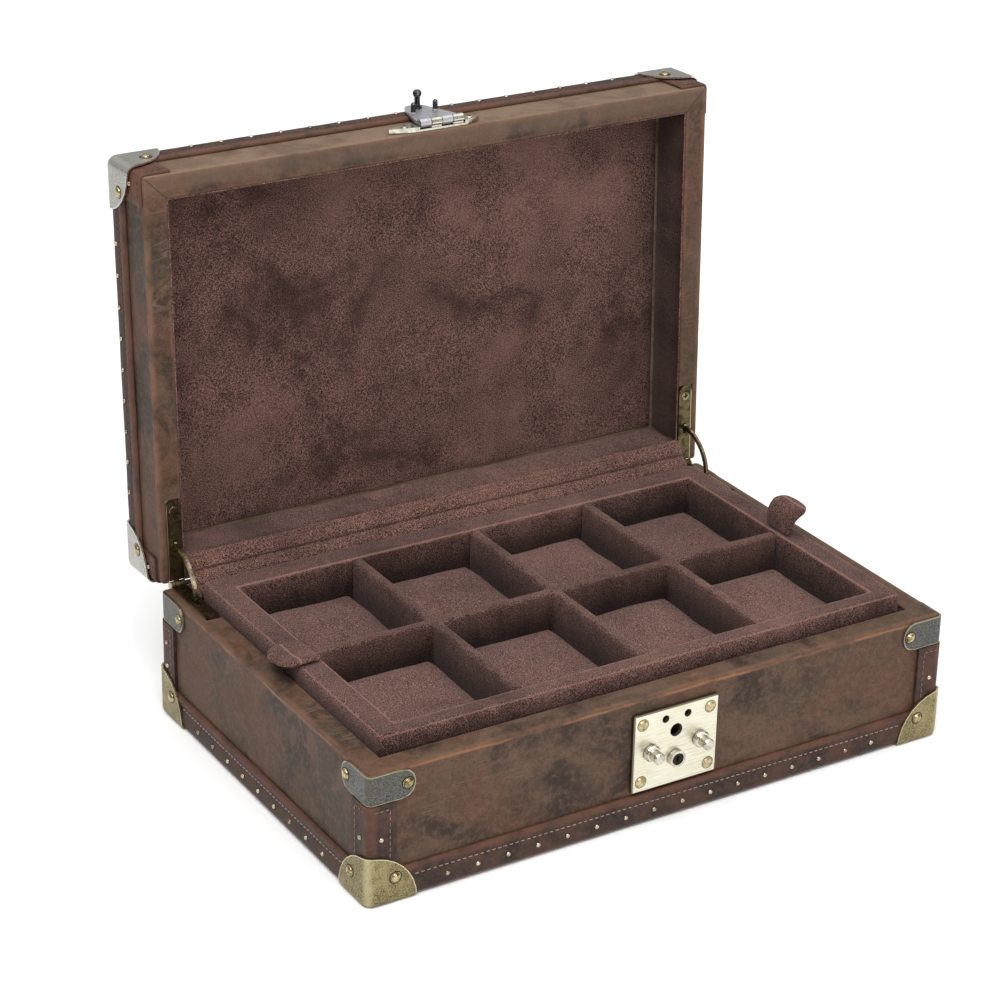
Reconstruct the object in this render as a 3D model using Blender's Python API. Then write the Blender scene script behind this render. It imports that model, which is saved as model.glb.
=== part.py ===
"""Leather watch box with a lift-out tray for eight watches.

The box stands on its underside with its front towards -Y. The origin is the
centre of the underside. The lid stands open, leaning a little past upright
on two quadrant stays, and the hasp is folded back on the lid's front wall.
All sizes below are in millimetres. The lid's pieces are drawn where they lie
when the lid is shut, and an empty on the hinge axis then turns them open.
"""

import math

import bmesh
import bpy
from mathutils import Matrix, Vector

MM = 0.001

# Overall size of the leather-covered case
HALF_X = 160.0
HALF_Y = 104.0
RIM_Z = 67.5
LID_RIM_Z = 68.1
LID_TOP_Z = 100.2
CORNER_R = 1.8

# Layers of a wall, measured inwards from the leather's face
GAP = 0.3
LEATHER = 1.2
CORE_OUT = LEATHER + GAP
CORE_IN = 9.7
LINING_OUT = CORE_IN + GAP
RIM_WIDTH = 12.0

# Heights in the base
CAP_T = 0.8
BINDING_LOW = CAP_T + GAP
BINDING_LEG = 1.2
CORE_LOW = BINDING_LOW + BINDING_LEG + GAP
FLOOR_TOP = 8.3
CORE_TOP = RIM_Z - LEATHER - GAP
LEDGE_Z = 43.0
LEDGE_W = 3.6

# Edge bindings, corner strips, caps and brackets stand proud of the leather
BINDING_PROUD = 2.0
BINDING_TALL = 17.0
LID_BINDING_TALL = 13.6
CAP_PROUD = 3.2
CAP_IN = CAP_PROUD - 0.9
CAP_R = 26.2
LID_CAP_SQUASH = 0.92
STRIP_PROUD = 1.8
STRIP_LEG = 14.8
BRACKET_PROUD = 1.3
BRACKET_LEG = 24.2
BRACKET_LOW = 51.9
BRACKET_TOP = 66.4

# Lid
LID_OPEN_DEG = 92.0
HINGE_Y = HALF_Y + 1.3
HINGE_Z = (RIM_Z + LID_RIM_Z) / 2
LID_PANEL_T = 2.4
LID_CEILING = 95.0

# Hinges and stays, on both sides
LEAF_IN = 148.2
LEAF_OUT = 156.2
LEAF_T = 1.2
LEAF_MID = (LEAF_IN + LEAF_OUT) / 2
BASE_LEAF_FRONT = 63.7
LID_LEAF_FRONT = 60.1
BARREL_R = 2.0
PIN_R = 0.9
PIN_BORE = 1.2
STAY_R = 21.0
STAY_T = 1.4
STAY_W = 2.4
STAY_EYE_R = 2.0
STAY_PIN_R = 0.5
STAY_BORE = 0.85
STAY_PIN_Y = HINGE_Y - STAY_R
STAY_PIN_Z = LID_RIM_Z + LEAF_T / 2

# Lock on the front wall
LOCK_X = 2.1
PLATE_HALF = 23.75
PLATE_LOW = 18.7
PLATE_TOP = 59.8
PLATE_BACK = -(HALF_Y + GAP)
PLATE_FRONT = PLATE_BACK - 2.3
CASE_HALF = 20.0
CASE_LOW = 22.0
CASE_TOP = 58.0
CASE_FRONT = -HALF_Y
CASE_BACK = -96.3
KNOB_DX = 13.87
KNOB_Z = 38.8
KNOB_TRAVEL = 2.5
KEY_Z = 32.5
SMALL_HOLE_DX = 6.25
SMALL_HOLE_Z = 54.3
BIG_HOLE_Z = 47.0

# Hasp on the lid's front wall
HASP_Y = -(HALF_Y + 3.8)
HASP_Z = 71.0
HASP_T = 1.5
KNUCKLE_R = 2.2
KNUCKLE_L = 5.8
KNUCKLE_STEP = 6.2
HASP_PIN_Z = SMALL_HOLE_Z + 0.5
HASP_POST_Z = BIG_HOLE_Z + 0.75
HASP_WING_LEFT = 28.5
HASP_WING_RIGHT = 22.5
HASP_WING_ROOT = 14.0

# Tray and its cushions
TRAY_HALF_X = 146.4
TRAY_HALF_Y = 89.7
TRAY_LOW = LEDGE_Z + GAP
TRAY_TOP = 75.3
TRAY_FLOOR = TRAY_LOW + 2.0
WELL_HALF_X = 133.35
WELL_FRONT = -79.6
WELL_BACK = 74.6
DIVIDER_T = 5.6
COLUMNS = 4
ROWS = 2
CUSHION_TOP = 59.6
CUSHION_EDGE = 0.8
TAB_HALF = 11.5

COLOURS = {
    "leather": ((0.105, 0.066, 0.045), 0.62, 0.0),
    "strip": ((0.085, 0.040, 0.027), 0.60, 0.0),
    "board": ((0.420, 0.300, 0.190), 0.75, 0.0),
    "suede": ((0.095, 0.056, 0.050), 0.95, 0.0),
    "felt": ((0.050, 0.040, 0.038), 0.95, 0.0),
    "cap_brass": ((0.300, 0.245, 0.140), 0.42, 1.0),
    "pewter": ((0.270, 0.265, 0.240), 0.42, 1.0),
    "hinge_brass": ((0.200, 0.165, 0.090), 0.45, 1.0),
    "lock_plate": ((0.700, 0.640, 0.480), 0.32, 1.0),
    "lock_steel": ((0.500, 0.500, 0.500), 0.40, 1.0),
    "nickel": ((0.720, 0.700, 0.640), 0.22, 1.0),
    "hasp_grey": ((0.420, 0.420, 0.430), 0.45, 1.0),
}


def clear_scene():
    for old in list(bpy.context.scene.objects):
        bpy.data.objects.remove(old, do_unlink=True)


def make_material(part, finish):
    colour, roughness, metallic = COLOURS[finish]
    material = bpy.data.materials.new(part)
    material.use_nodes = True
    shader = material.node_tree.nodes["Principled BSDF"]
    shader.inputs["Base Color"].default_value = (*colour, 1.0)
    shader.inputs["Roughness"].default_value = roughness
    shader.inputs["Metallic"].default_value = metallic
    material.diffuse_color = (*colour, 1.0)
    return material


def add_object(name, mesh_data, finish, pivot=None, smooth=True):
    """Make a node from a bmesh in millimetres; with a pivot it hangs on that empty."""
    origin = Vector(pivot["rest"]) if pivot else Vector((0.0, 0.0, 0.0))
    bmesh.ops.translate(mesh_data, verts=mesh_data.verts, vec=-origin)
    bmesh.ops.scale(mesh_data, verts=mesh_data.verts, vec=(MM, MM, MM))
    bmesh.ops.recalc_face_normals(mesh_data, faces=mesh_data.faces)
    mesh = bpy.data.meshes.new(name)
    mesh_data.to_mesh(mesh)
    mesh_data.free()
    if smooth:
        mesh.shade_smooth()
        mesh.set_sharp_from_angle(angle=math.radians(35))
    part = bpy.data.objects.new(name, mesh)
    bpy.context.scene.collection.objects.link(part)
    if finish:
        mesh.materials.append(make_material(name, finish))
    if pivot:
        part.parent = pivot["empty"]
    return part


def add_pivot(name, place, turn_deg=0.0, parent=None):
    """An empty on a joint's axis. place is where it lies with everything shut."""
    empty = bpy.data.objects.new(name, None)
    bpy.context.scene.collection.objects.link(empty)
    offset = Vector(place) - (Vector(parent["rest"]) if parent else Vector((0, 0, 0)))
    empty.location = offset * MM
    empty.rotation_euler = (math.radians(turn_deg), 0.0, 0.0)
    if parent:
        empty.parent = parent["empty"]
    return {"empty": empty, "rest": place}


def boolean(target, shape, operation="DIFFERENCE", pivot=None):
    """Cut a bmesh in millimetres out of a node, or join or intersect it."""
    tool = add_object(target.name + "_tool", shape, None, pivot, smooth=False)
    tool.hide_render = True
    tool.display_type = "WIRE"
    step = target.modifiers.new(operation.title(), "BOOLEAN")
    step.operation = operation
    step.solver = "EXACT"
    step.object = tool
    return tool


# ---------------------------------------------------------------- outlines

def arc(cx, cy, r, start_deg, end_deg, steps):
    points = []
    for i in range(steps + 1):
        a = math.radians(start_deg + (end_deg - start_deg) * i / steps)
        points.append((cx + r * math.cos(a), cy + r * math.sin(a)))
    return points


def rounded_rectangle(cx, cy, hx, hy, r, steps=4):
    """Corner points run anticlockwise, the same number for every radius."""
    points = []
    for sx, sy, start in ((1, 1, 0), (-1, 1, 90), (-1, -1, 180), (1, -1, 270)):
        points += arc(cx + sx * (hx - r), cy + sy * (hy - r), r, start, start + 90, steps)
    return points


def case_loop(offset, z, steps=4):
    """The case's outline, grown by offset (negative is inwards), at height z."""
    r = max(CORNER_R + offset, 0.25)
    return [(x, y, z) for x, y in rounded_rectangle(0, 0, HALF_X + offset, HALF_Y + offset, r, steps)]


# ---------------------------------------------------------------- solids

def loft(loops, closed=False):
    """Skin a stack of equal loops; closed joins last to first, else the ends are capped."""
    shape = bmesh.new()
    rows = [[shape.verts.new(p) for p in loop] for loop in loops]
    count = len(rows[0])
    pairs = list(zip(rows, rows[1:]))
    if closed:
        pairs.append((rows[-1], rows[0]))
    for low, high in pairs:
        for i in range(count):
            j = (i + 1) % count
            shape.faces.new((low[i], low[j], high[j], high[i]))
    if not closed:
        shape.faces.new(list(reversed(rows[0])))
        shape.faces.new(rows[-1])
    return shape


def case_ring(section):
    return loft([case_loop(offset, z) for offset, z in section], closed=True)


def box(x0, x1, y0, y1, z0, z1):
    outline = [(x0, y0), (x1, y0), (x1, y1), (x0, y1)]
    return prism(outline, z0, z1)


def prism(outline, z0, z1):
    return loft([[(x, y, z0) for x, y in outline], [(x, y, z1) for x, y in outline]])


def turned(profile, centre, axis, steps=20):
    """Turn a profile of (radius, distance) pairs about an axis through centre.

    The first and last radius are the end faces' rims."""
    turn = Vector((0, 0, 1)).rotation_difference(Vector(axis)).to_matrix().to_4x4()
    place = Matrix.Translation(Vector(centre)) @ turn
    loops = []
    for r, along in profile:
        loops.append([place @ Vector((x, y, along)) for x, y in arc(0, 0, r, 0, 360, steps)[:-1]])
    return loft(loops)


def rod(centre, axis, r, length, steps=20):
    return turned([(r, 0.0), (r, length)], centre, axis, steps)


def tube(centre, axis, r_out, r_in, length, steps=20):
    turn = Vector((0, 0, 1)).rotation_difference(Vector(axis)).to_matrix().to_4x4()
    place = Matrix.Translation(Vector(centre)) @ turn
    loops = []
    for r, along in ((r_out, 0.0), (r_out, length), (r_in, length), (r_in, 0.0)):
        loops.append([place @ Vector((x, y, along)) for x, y in arc(0, 0, r, 0, 360, steps)[:-1]])
    return loft(loops, closed=True)


def upright_plate(outline, y0, y1):
    """Extrude an (x, z) outline from y0 to y1."""
    return loft([[(x, y0, z) for x, z in outline], [(x, y1, z) for x, z in outline]])


def side_plate(outline, x0, x1):
    """Extrude a (y, z) outline from x0 to x1."""
    return loft([[(x0, y, z) for y, z in outline], [(x1, y, z) for y, z in outline]])


def mirrored(shape):
    """The same shape on the other side of the YZ plane."""
    bmesh.ops.scale(shape, verts=shape.verts, vec=(-1, 1, 1))
    bmesh.ops.reverse_faces(shape, faces=shape.faces)
    return shape


def on_side(shape, side):
    return shape if side > 0 else mirrored(shape)


def bent_plate(corner, leg, inner, outer, z_low, z_high, end_r):
    """A plate folded round one upright corner, with rounded ends of radius end_r."""
    sx, sy = corner
    bend = CORNER_R
    centre_x = HALF_X - bend
    centre_y = HALF_Y - bend
    middle = (z_low + z_high) / 2
    half = (z_high - z_low) / 2
    straight = leg - bend - outer
    rounds = [(straight, half - end_r * 0.82), (straight - end_r * 0.12, half - end_r * 0.45),
              (straight - end_r * 0.42, half - end_r * 0.12), (straight - end_r, half)]
    if end_r == 0:
        rounds = [(straight, half)]
    stations = [((centre_x, -s), (1, 0), h, s) for s, h in rounds]
    points = []
    for _, normal, h, s in stations:
        points.append((centre_x, centre_y - s, normal, h))
    for i in range(1, 6):
        a = math.radians(90 * i / 6)
        points.append((centre_x, centre_y, (math.cos(a), math.sin(a)), half))
    points.insert(len(stations), (centre_x, centre_y, (1, 0), half))
    points.append((centre_x, centre_y, (0, 1), half))
    for s, h in reversed(rounds):
        points.append((centre_x - s, centre_y, (0, 1), h))
    loops = []
    for x, y, (nx, ny), h in points:
        loop = []
        for thick, z in ((outer, middle - h), (outer, middle + h), (inner, middle + h), (inner, middle - h)):
            loop.append((sx * (x + nx * (bend + thick)), sy * (y + ny * (bend + thick)), z))
        loops.append(loop)
    return loft(loops)


def corner_name(corner):
    sx, sy = corner
    return ("front" if sy < 0 else "back") + ("_left" if sx < 0 else "_right")


CORNERS = ((-1, -1), (1, -1), (-1, 1), (1, 1))


# ---------------------------------------------------------------- the base

def make_walls(prefix, z0, z1, pivot=None):
    """Two side walls as deep as the case, with the front and back walls between them."""
    out_x = HALF_X - CORE_OUT
    in_x = HALF_X - CORE_IN
    out_y = HALF_Y - CORE_OUT
    in_y = HALF_Y - CORE_IN
    walls = {}
    for side, sx in (("left", -1), ("right", 1)):
        shape = on_side(box(in_x, out_x, -out_y, out_y, z0, z1), sx)
        walls[side] = add_object(f"{prefix}_{side}_wall", shape, "board", pivot, smooth=False)
    span = in_x - GAP
    for side, sy in (("front", -1), ("back", 1)):
        y0, y1 = sorted((sy * in_y, sy * out_y))
        shape = box(-span, span, y0, y1, z0, z1)
        walls[side] = add_object(f"{prefix}_{side}_wall", shape, "board", pivot, smooth=False)
    return walls


def leaf_seat(front, z0, z1):
    """The recess in a rim for a hinge leaf and its knuckles."""
    return box(LEAF_IN - GAP, LEAF_OUT + GAP, front - GAP, HINGE_Y + 3.0, z0, z1)


def make_base_shell():
    walls = make_walls("base", CORE_LOW, CORE_TOP)
    pocket = box(LOCK_X - CASE_HALF - GAP, LOCK_X + CASE_HALF + GAP, -HALF_Y, CASE_BACK + GAP,
                 CASE_LOW - GAP, CASE_TOP + GAP)
    boolean(walls["front"], pocket)
    for side, sx in (("left", -1), ("right", 1)):
        mortise = box(LEAF_MID - 1.1, LEAF_MID + 1.1, 79.0, 101.3, 37.5, CORE_TOP + 5)
        boolean(walls[side], on_side(mortise, sx))

    inside = HALF_X - LINING_OUT
    inside_y = HALF_Y - LINING_OUT
    add_object("base_floor_panel", box(-inside, inside, -inside_y, inside_y, CORE_LOW, FLOOR_TOP),
               "board", smooth=False)

    cover = add_object("base_leather_cover", case_ring([
        (0.0, CORE_LOW), (0.0, RIM_Z - 1.0), (-0.3, RIM_Z - 0.3), (-1.0, RIM_Z),
        (-RIM_WIDTH + 0.6, RIM_Z), (-RIM_WIDTH, RIM_Z - 0.5), (-RIM_WIDTH, RIM_Z - LEATHER),
        (-LEATHER, RIM_Z - LEATHER), (-LEATHER, CORE_LOW)]), "leather")
    window = box(LOCK_X - CASE_HALF - GAP, LOCK_X + CASE_HALF + GAP, -HALF_Y - 1, -HALF_Y + 2,
                 CASE_LOW - GAP, CASE_TOP + GAP)
    boolean(cover, window)
    for sx in (-1, 1):
        boolean(cover, on_side(leaf_seat(BASE_LEAF_FRONT, HINGE_Z - 2.6, RIM_Z + 1), sx))

    make_base_lining()
    make_underside_pad()
    add_object("base_edge_binding", case_ring([
        (-RIM_WIDTH, BINDING_LOW), (0.4, BINDING_LOW), (1.5, BINDING_LOW + 0.5),
        (BINDING_PROUD, BINDING_LOW + 1.6), (BINDING_PROUD, BINDING_TALL - 0.8),
        (BINDING_PROUD - 0.5, BINDING_TALL - 0.1), (BINDING_PROUD - 1.0, BINDING_TALL),
        (GAP, BINDING_TALL), (GAP, BINDING_LOW + BINDING_LEG),
        (-RIM_WIDTH, BINDING_LOW + BINDING_LEG)]), "strip")


def make_base_lining():
    low = FLOOR_TOP + GAP
    ledge = -RIM_WIDTH - LEDGE_W
    section = [(-LINING_OUT, low), (-LINING_OUT, CORE_TOP), (-RIM_WIDTH, CORE_TOP),
               (-RIM_WIDTH, LEDGE_Z), (ledge, LEDGE_Z), (ledge, low + 1.5)]
    add_object("base_lining", loft([case_loop(offset, z) for offset, z in section]), "suede")


def make_underside_pad():
    """The felt on the underside, cut back round the four corner caps."""
    hx = HALF_X - RIM_WIDTH - 0.5
    hy = HALF_Y - RIM_WIDTH - 0.5
    cap_x = HALF_X + CAP_PROUD
    cap_y = HALF_Y + CAP_PROUD
    r = CAP_R + 0.8
    start = math.degrees(math.acos((hx - cap_x) / r))
    end = math.degrees(math.asin((hy - cap_y) / r))
    quarter = arc(cap_x, cap_y, r, 360 - start, 180 - end, 8)
    outline = list(quarter)
    outline += [(-x, y) for x, y in reversed(quarter)]
    outline += [(-x, -y) for x, y in quarter]
    outline += [(x, -y) for x, y in reversed(quarter)]
    add_object("underside_pad", prism(outline, 0.0, BINDING_LOW + BINDING_LEG), "felt", smooth=False)


def cap_body(z_face, up, proud, edge_r):
    """The case grown by proud, rounded along its lower (or upper) edge, as one closed body."""
    loops = []
    for a in (0, 30, 60, 90):
        offset = proud - edge_r * (1 - math.sin(math.radians(a)))
        z = z_face + up * edge_r * (1 - math.cos(math.radians(a)))
        loops.append(case_loop(offset, z, 6))
    loops.append(case_loop(proud, z_face + up * 40.0, 6))
    return loft(loops)


def make_corner_caps(prefix, z_face, up, finish, pivot=None, squash=1.0):
    """Shells over the corners, each cut to a round outline; squash is its height over its radius."""
    for corner in CORNERS:
        sx, sy = corner
        centre = Vector((sx * (HALF_X + CAP_PROUD), sy * (HALF_Y + CAP_PROUD), z_face))
        ball = bmesh.new()
        bmesh.ops.create_uvsphere(ball, u_segments=32, v_segments=16, radius=CAP_R,
                                  matrix=Matrix.Translation(centre) @ Matrix.Diagonal((1, 1, squash, 1)))
        name = f"{prefix}_corner_cap_{corner_name(corner)}"
        cap = add_object(name, ball, finish, pivot)
        boolean(cap, cap_body(z_face, up, CAP_PROUD, 3.0), "INTERSECT", pivot)
        boolean(cap, cap_body(z_face + up * CAP_T, up, CAP_IN, 2.2), "DIFFERENCE", pivot)


def make_base_corners():
    for corner in CORNERS:
        name = corner_name(corner)
        strip = bent_plate(corner, STRIP_LEG, GAP, STRIP_PROUD, BINDING_TALL + 0.4, BRACKET_LOW - 0.4, 0)
        add_object(f"base_corner_strip_{name}", strip, "strip")
        bracket = bent_plate(corner, BRACKET_LEG, GAP, BRACKET_PROUD, BRACKET_LOW, BRACKET_TOP,
                             (BRACKET_TOP - BRACKET_LOW) / 2)
        node = add_object(f"base_rim_bracket_{name}", bracket, "pewter")
        if corner[1] > 0:
            notch = box(LEAF_IN - GAP, LEAF_OUT + GAP, HALF_Y, HALF_Y + 3, HINGE_Z - BARREL_R - GAP, RIM_Z)
            boolean(node, on_side(notch, corner[0]))
    make_corner_caps("base", 0.0, 1, "cap_brass")


# ---------------------------------------------------------------- the lock

def make_lock():
    plate_outline = rounded_rectangle(LOCK_X, (PLATE_LOW + PLATE_TOP) / 2, PLATE_HALF,
                                      (PLATE_TOP - PLATE_LOW) / 2, 0.8, 2)
    bevel = 0.6
    inner = rounded_rectangle(LOCK_X, (PLATE_LOW + PLATE_TOP) / 2, PLATE_HALF - bevel,
                              (PLATE_TOP - PLATE_LOW) / 2 - bevel, 0.4, 2)
    plate = add_object("lock_plate", loft([
        [(x, PLATE_BACK, z) for x, z in plate_outline],
        [(x, PLATE_FRONT + bevel, z) for x, z in plate_outline],
        [(x, PLATE_FRONT, z) for x, z in inner]]), "lock_plate")
    case = add_object("lock_case", box(LOCK_X - CASE_HALF, LOCK_X + CASE_HALF, CASE_FRONT, CASE_BACK,
                                       CASE_LOW, CASE_TOP), "lock_steel", smooth=False)
    deep = PLATE_FRONT - 1
    for sx in (-1, 1):
        hole_x = LOCK_X + sx * SMALL_HOLE_DX
        boolean(plate, rod((hole_x, deep, SMALL_HOLE_Z), (0, 1, 0), 2.0, 6))
        boolean(case, rod((hole_x, deep, SMALL_HOLE_Z), (0, 1, 0), 2.3, 9))
        knob_x = LOCK_X + sx * KNOB_DX
        boolean(plate, slot_cutter(knob_x, sx, 1.7, deep, 6))
        boolean(case, slot_cutter(knob_x, sx, 2.0, deep, 9.5))
    boolean(plate, rod((LOCK_X, deep, BIG_HOLE_Z), (0, 1, 0), 3.4, 6, 24))
    boolean(case, box(LOCK_X - 3.6, LOCK_X + 3.6, deep, CASE_BACK + 1, BIG_HOLE_Z - 4.6, BIG_HOLE_Z + 4.2))
    boolean(plate, rod((LOCK_X, deep, KEY_Z), (0, 1, 0), 3.1, 6))
    boolean(case, rod((LOCK_X, deep, KEY_Z), (0, 1, 0), 3.1, 9))
    add_object("lock_key_barrel", tube((LOCK_X, PLATE_FRONT - GAP, KEY_Z), (0, -1, 0), 4.25, 3.1, 2.4, 24),
               "lock_plate")


def slot_cutter(x, outwards, r, y0, length):
    """A level slot that lets a knob's shank slide outwards by its travel."""
    far = x + outwards * KNOB_TRAVEL
    left, right = sorted((x, far))
    outline = arc(right, KNOB_Z, r, -90, 90, 8) + arc(left, KNOB_Z, r, 90, 270, 8)
    return upright_plate(outline, y0, y0 + length)


def make_lock_movers():
    for side, sx in (("left", -1), ("right", 1)):
        x = LOCK_X + sx * KNOB_DX
        pivot = add_pivot(f"knob_slide_{side}", (x, PLATE_FRONT, KNOB_Z))
        start = PLATE_FRONT - GAP
        profile = [(1.3, 8.5), (1.3, 0.0), (4.25, 0.0), (4.25, -1.6), (3.7, -2.4), (2.9, -2.6),
                   (2.9, -7.0), (2.4, -7.7), (1.4, -8.0)]
        knob = turned([(r, -along) for r, along in profile], (x, start, KNOB_Z), (0, -1, 0), 24)
        add_object(f"lock_knob_{side}", knob, "nickel", pivot)
    key = add_pivot("key_turn", (LOCK_X, PLATE_FRONT, KEY_Z))
    plug = add_object("lock_key_plug", rod((LOCK_X, PLATE_FRONT - 2.5, KEY_Z), (0, 1, 0), 2.8, 9.5, 24),
                      "lock_steel", key)
    keyhole = arc(LOCK_X, KEY_Z + 0.7, 1.0, -50, 230, 10)
    keyhole += [(LOCK_X - 0.45, KEY_Z - 1.9), (LOCK_X + 0.45, KEY_Z - 1.9)]
    boolean(plug, upright_plate(keyhole, PLATE_FRONT - 4, PLATE_FRONT + 3.5), pivot=key)


# ---------------------------------------------------------------- hinges

def leaf_outline(front):
    """A leaf from its round front end back to the knuckles, seen from above."""
    r = (LEAF_OUT - LEAF_IN) / 2
    outline = [(LEAF_OUT, HINGE_Y - 1.6), (LEAF_IN, HINGE_Y - 1.6)]
    outline += arc(LEAF_MID, front + r, r, 180, 360, 10)
    return outline


def knuckle(x0, x1):
    return rod((x0, HINGE_Y, HINGE_Z), (1, 0, 0), BARREL_R, x1 - x0, 16)


def make_base_leaf(side, sx):
    leaf_top = RIM_Z
    leaf = add_object(f"hinge_base_leaf_{side}",
                      on_side(prism(leaf_outline(BASE_LEAF_FRONT), leaf_top - LEAF_T, leaf_top), sx),
                      "hinge_brass")
    for x0, x1 in ((LEAF_IN, LEAF_IN + 2.4), (LEAF_OUT - 2.4, LEAF_OUT)):
        boolean(leaf, on_side(knuckle(x0, x1), sx), "UNION")
    room = box(LEAF_IN + 2.4, LEAF_OUT - 2.4, HINGE_Y - BARREL_R - GAP, HINGE_Y + 3, HINGE_Z - 3, HINGE_Z + 3)
    boolean(leaf, on_side(room, sx))
    pin = rod((LEAF_IN + 1.0, HINGE_Y, HINGE_Z), (1, 0, 0), PIN_R, LEAF_OUT - LEAF_IN - 2.0, 12)
    boolean(leaf, on_side(pin, sx), "UNION")
    slot = box(LEAF_MID - 1.0, LEAF_MID + 1.0, 79.2, 87.0, RIM_Z - 3, RIM_Z + 1)
    boolean(leaf, on_side(slot, sx))


def make_lid_leaf(side, sx, lid):
    leaf = add_object(f"hinge_lid_leaf_{side}",
                      on_side(prism(leaf_outline(LID_LEAF_FRONT), LID_RIM_Z, LID_RIM_Z + LEAF_T), sx),
                      "hinge_brass", lid)
    middle = (LEAF_IN + 2.7, LEAF_OUT - 2.7)
    boolean(leaf, on_side(knuckle(*middle), sx), "UNION", lid)
    for x0, x1 in ((LEAF_IN - 1, middle[0]), (middle[1], LEAF_OUT + 1)):
        room = box(x0, x1, HINGE_Y - BARREL_R - GAP, HINGE_Y + 3, HINGE_Z - 3, HINGE_Z + 3)
        boolean(leaf, on_side(room, sx), "DIFFERENCE", lid)
    bore = rod((LEAF_IN - 1, HINGE_Y, HINGE_Z), (1, 0, 0), PIN_BORE, 10, 12)
    boolean(leaf, on_side(bore, sx), "DIFFERENCE", lid)
    slot = box(LEAF_MID - 1.0, LEAF_MID + 1.0, STAY_PIN_Y - 2.6, STAY_PIN_Y + 3.4, LID_RIM_Z - 1, LID_RIM_Z + 3)
    boolean(leaf, on_side(slot, sx), "DIFFERENCE", lid)
    pin = rod((LEAF_MID - 2.0, STAY_PIN_Y, STAY_PIN_Z), (1, 0, 0), STAY_PIN_R, 4.0, 10)
    boolean(leaf, on_side(pin, sx), "UNION", lid)


def open_place(y, z):
    """Where a point of the shut lid lies when the lid is open."""
    a = math.radians(LID_OPEN_DEG)
    dy = y - HINGE_Y
    dz = z - HINGE_Z
    return (HINGE_Y + dy * math.cos(a) + dz * math.sin(a), HINGE_Z - dy * math.sin(a) + dz * math.cos(a))


def make_stay(side, sx):
    """A curved arm, pinned to the lid's leaf, whose hooked end runs in the base's leaf."""
    pin_y, pin_z = open_place(STAY_PIN_Y, STAY_PIN_Z)
    radius = math.hypot(pin_y - HINGE_Y, pin_z - HINGE_Z)
    start = math.degrees(math.atan2(pin_z - HINGE_Z, pin_y - HINGE_Y))
    outer = arc(HINGE_Y, HINGE_Z, radius + STAY_W / 2, start + 2, 187, 20)
    inner = arc(HINGE_Y, HINGE_Z, radius - STAY_W / 2, 187, start + 2, 20)
    hook = arc(HINGE_Y, HINGE_Z, radius - STAY_W / 2 - 1.0, 187, 184, 1)
    x0 = LEAF_MID - STAY_T / 2
    x1 = LEAF_MID + STAY_T / 2
    pivot = add_pivot(f"stay_pivot_{side}", (sx * LEAF_MID, pin_y, pin_z))
    stay = add_object(f"hinge_stay_{side}", on_side(side_plate(outer + hook + inner, x0, x1), sx),
                      "hinge_brass", pivot)
    eye = rod((x0, pin_y, pin_z), (1, 0, 0), STAY_EYE_R, STAY_T, 16)
    boolean(stay, on_side(eye, sx), "UNION", pivot)
    bore = rod((x0 - 1, pin_y, pin_z), (1, 0, 0), STAY_BORE, STAY_T + 2, 12)
    boolean(stay, on_side(bore, sx), "DIFFERENCE", pivot)


# ---------------------------------------------------------------- the lid

def make_lid(lid):
    core_low = LID_RIM_Z + LEATHER + GAP
    core_top = LID_TOP_Z - LEATHER - GAP
    walls = make_walls("lid", core_low, core_top, lid)
    for side, sx in (("left", -1), ("right", 1)):
        pocket = box(LEAF_MID - 1.1, LEAF_MID + 1.1, STAY_PIN_Y - 2.6, STAY_PIN_Y + 3.4, core_low - 1, core_low + 2.5)
        boolean(walls[side], on_side(pocket, sx), "DIFFERENCE", lid)
    inside = HALF_X - LINING_OUT
    inside_y = HALF_Y - LINING_OUT
    add_object("lid_top_panel", box(-inside, inside, -inside_y, inside_y, core_top - LID_PANEL_T, core_top),
               "board", lid, smooth=False)

    cover_section = [
        (-LEATHER, LID_TOP_Z - LEATHER), (-LEATHER, LID_RIM_Z + LEATHER), (-RIM_WIDTH, LID_RIM_Z + LEATHER),
        (-RIM_WIDTH, LID_RIM_Z + 0.5), (-RIM_WIDTH + 0.6, LID_RIM_Z), (-1.0, LID_RIM_Z),
        (-0.3, LID_RIM_Z + 0.3), (0.0, LID_RIM_Z + 1.0), (0.0, LID_TOP_Z - 1.6),
        (-0.5, LID_TOP_Z - 0.5), (-1.4, LID_TOP_Z)]
    cover = add_object("lid_leather_cover", loft([case_loop(offset, z) for offset, z in cover_section]),
                       "leather", lid)
    for sx in (-1, 1):
        boolean(cover, on_side(leaf_seat(LID_LEAF_FRONT, LID_RIM_Z - 1, HINGE_Z + 2.6), sx), "DIFFERENCE", lid)

    ceiling_top = core_top - LID_PANEL_T - GAP
    lining = [(-RIM_WIDTH, LID_CEILING), (-RIM_WIDTH, core_low), (-LINING_OUT, core_low),
              (-LINING_OUT, ceiling_top)]
    add_object("lid_lining", loft([case_loop(offset, z) for offset, z in lining]), "suede", lid)

    top = LID_TOP_Z + GAP
    outer_top = top + 1.4
    low = outer_top - LID_BINDING_TALL
    add_object("lid_edge_binding", case_ring([
        (-15.0, top), (-15.0, outer_top - 0.4), (-14.4, outer_top), (0.4, outer_top),
        (1.5, outer_top - 0.5), (BINDING_PROUD, outer_top - 1.6), (BINDING_PROUD, low + 0.8),
        (BINDING_PROUD - 0.5, low + 0.1), (BINDING_PROUD - 1.0, low), (GAP, low), (GAP, top)]),
        "strip", lid)
    make_corner_caps("lid", outer_top + GAP + CAP_T, -1, "pewter", lid, LID_CAP_SQUASH)


# ---------------------------------------------------------------- the hasp

def hasp_knuckle(index):
    x0 = LOCK_X - 2 * KNUCKLE_STEP + KNUCKLE_STEP * index + 0.2
    return x0, x0 + KNUCKLE_L


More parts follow.
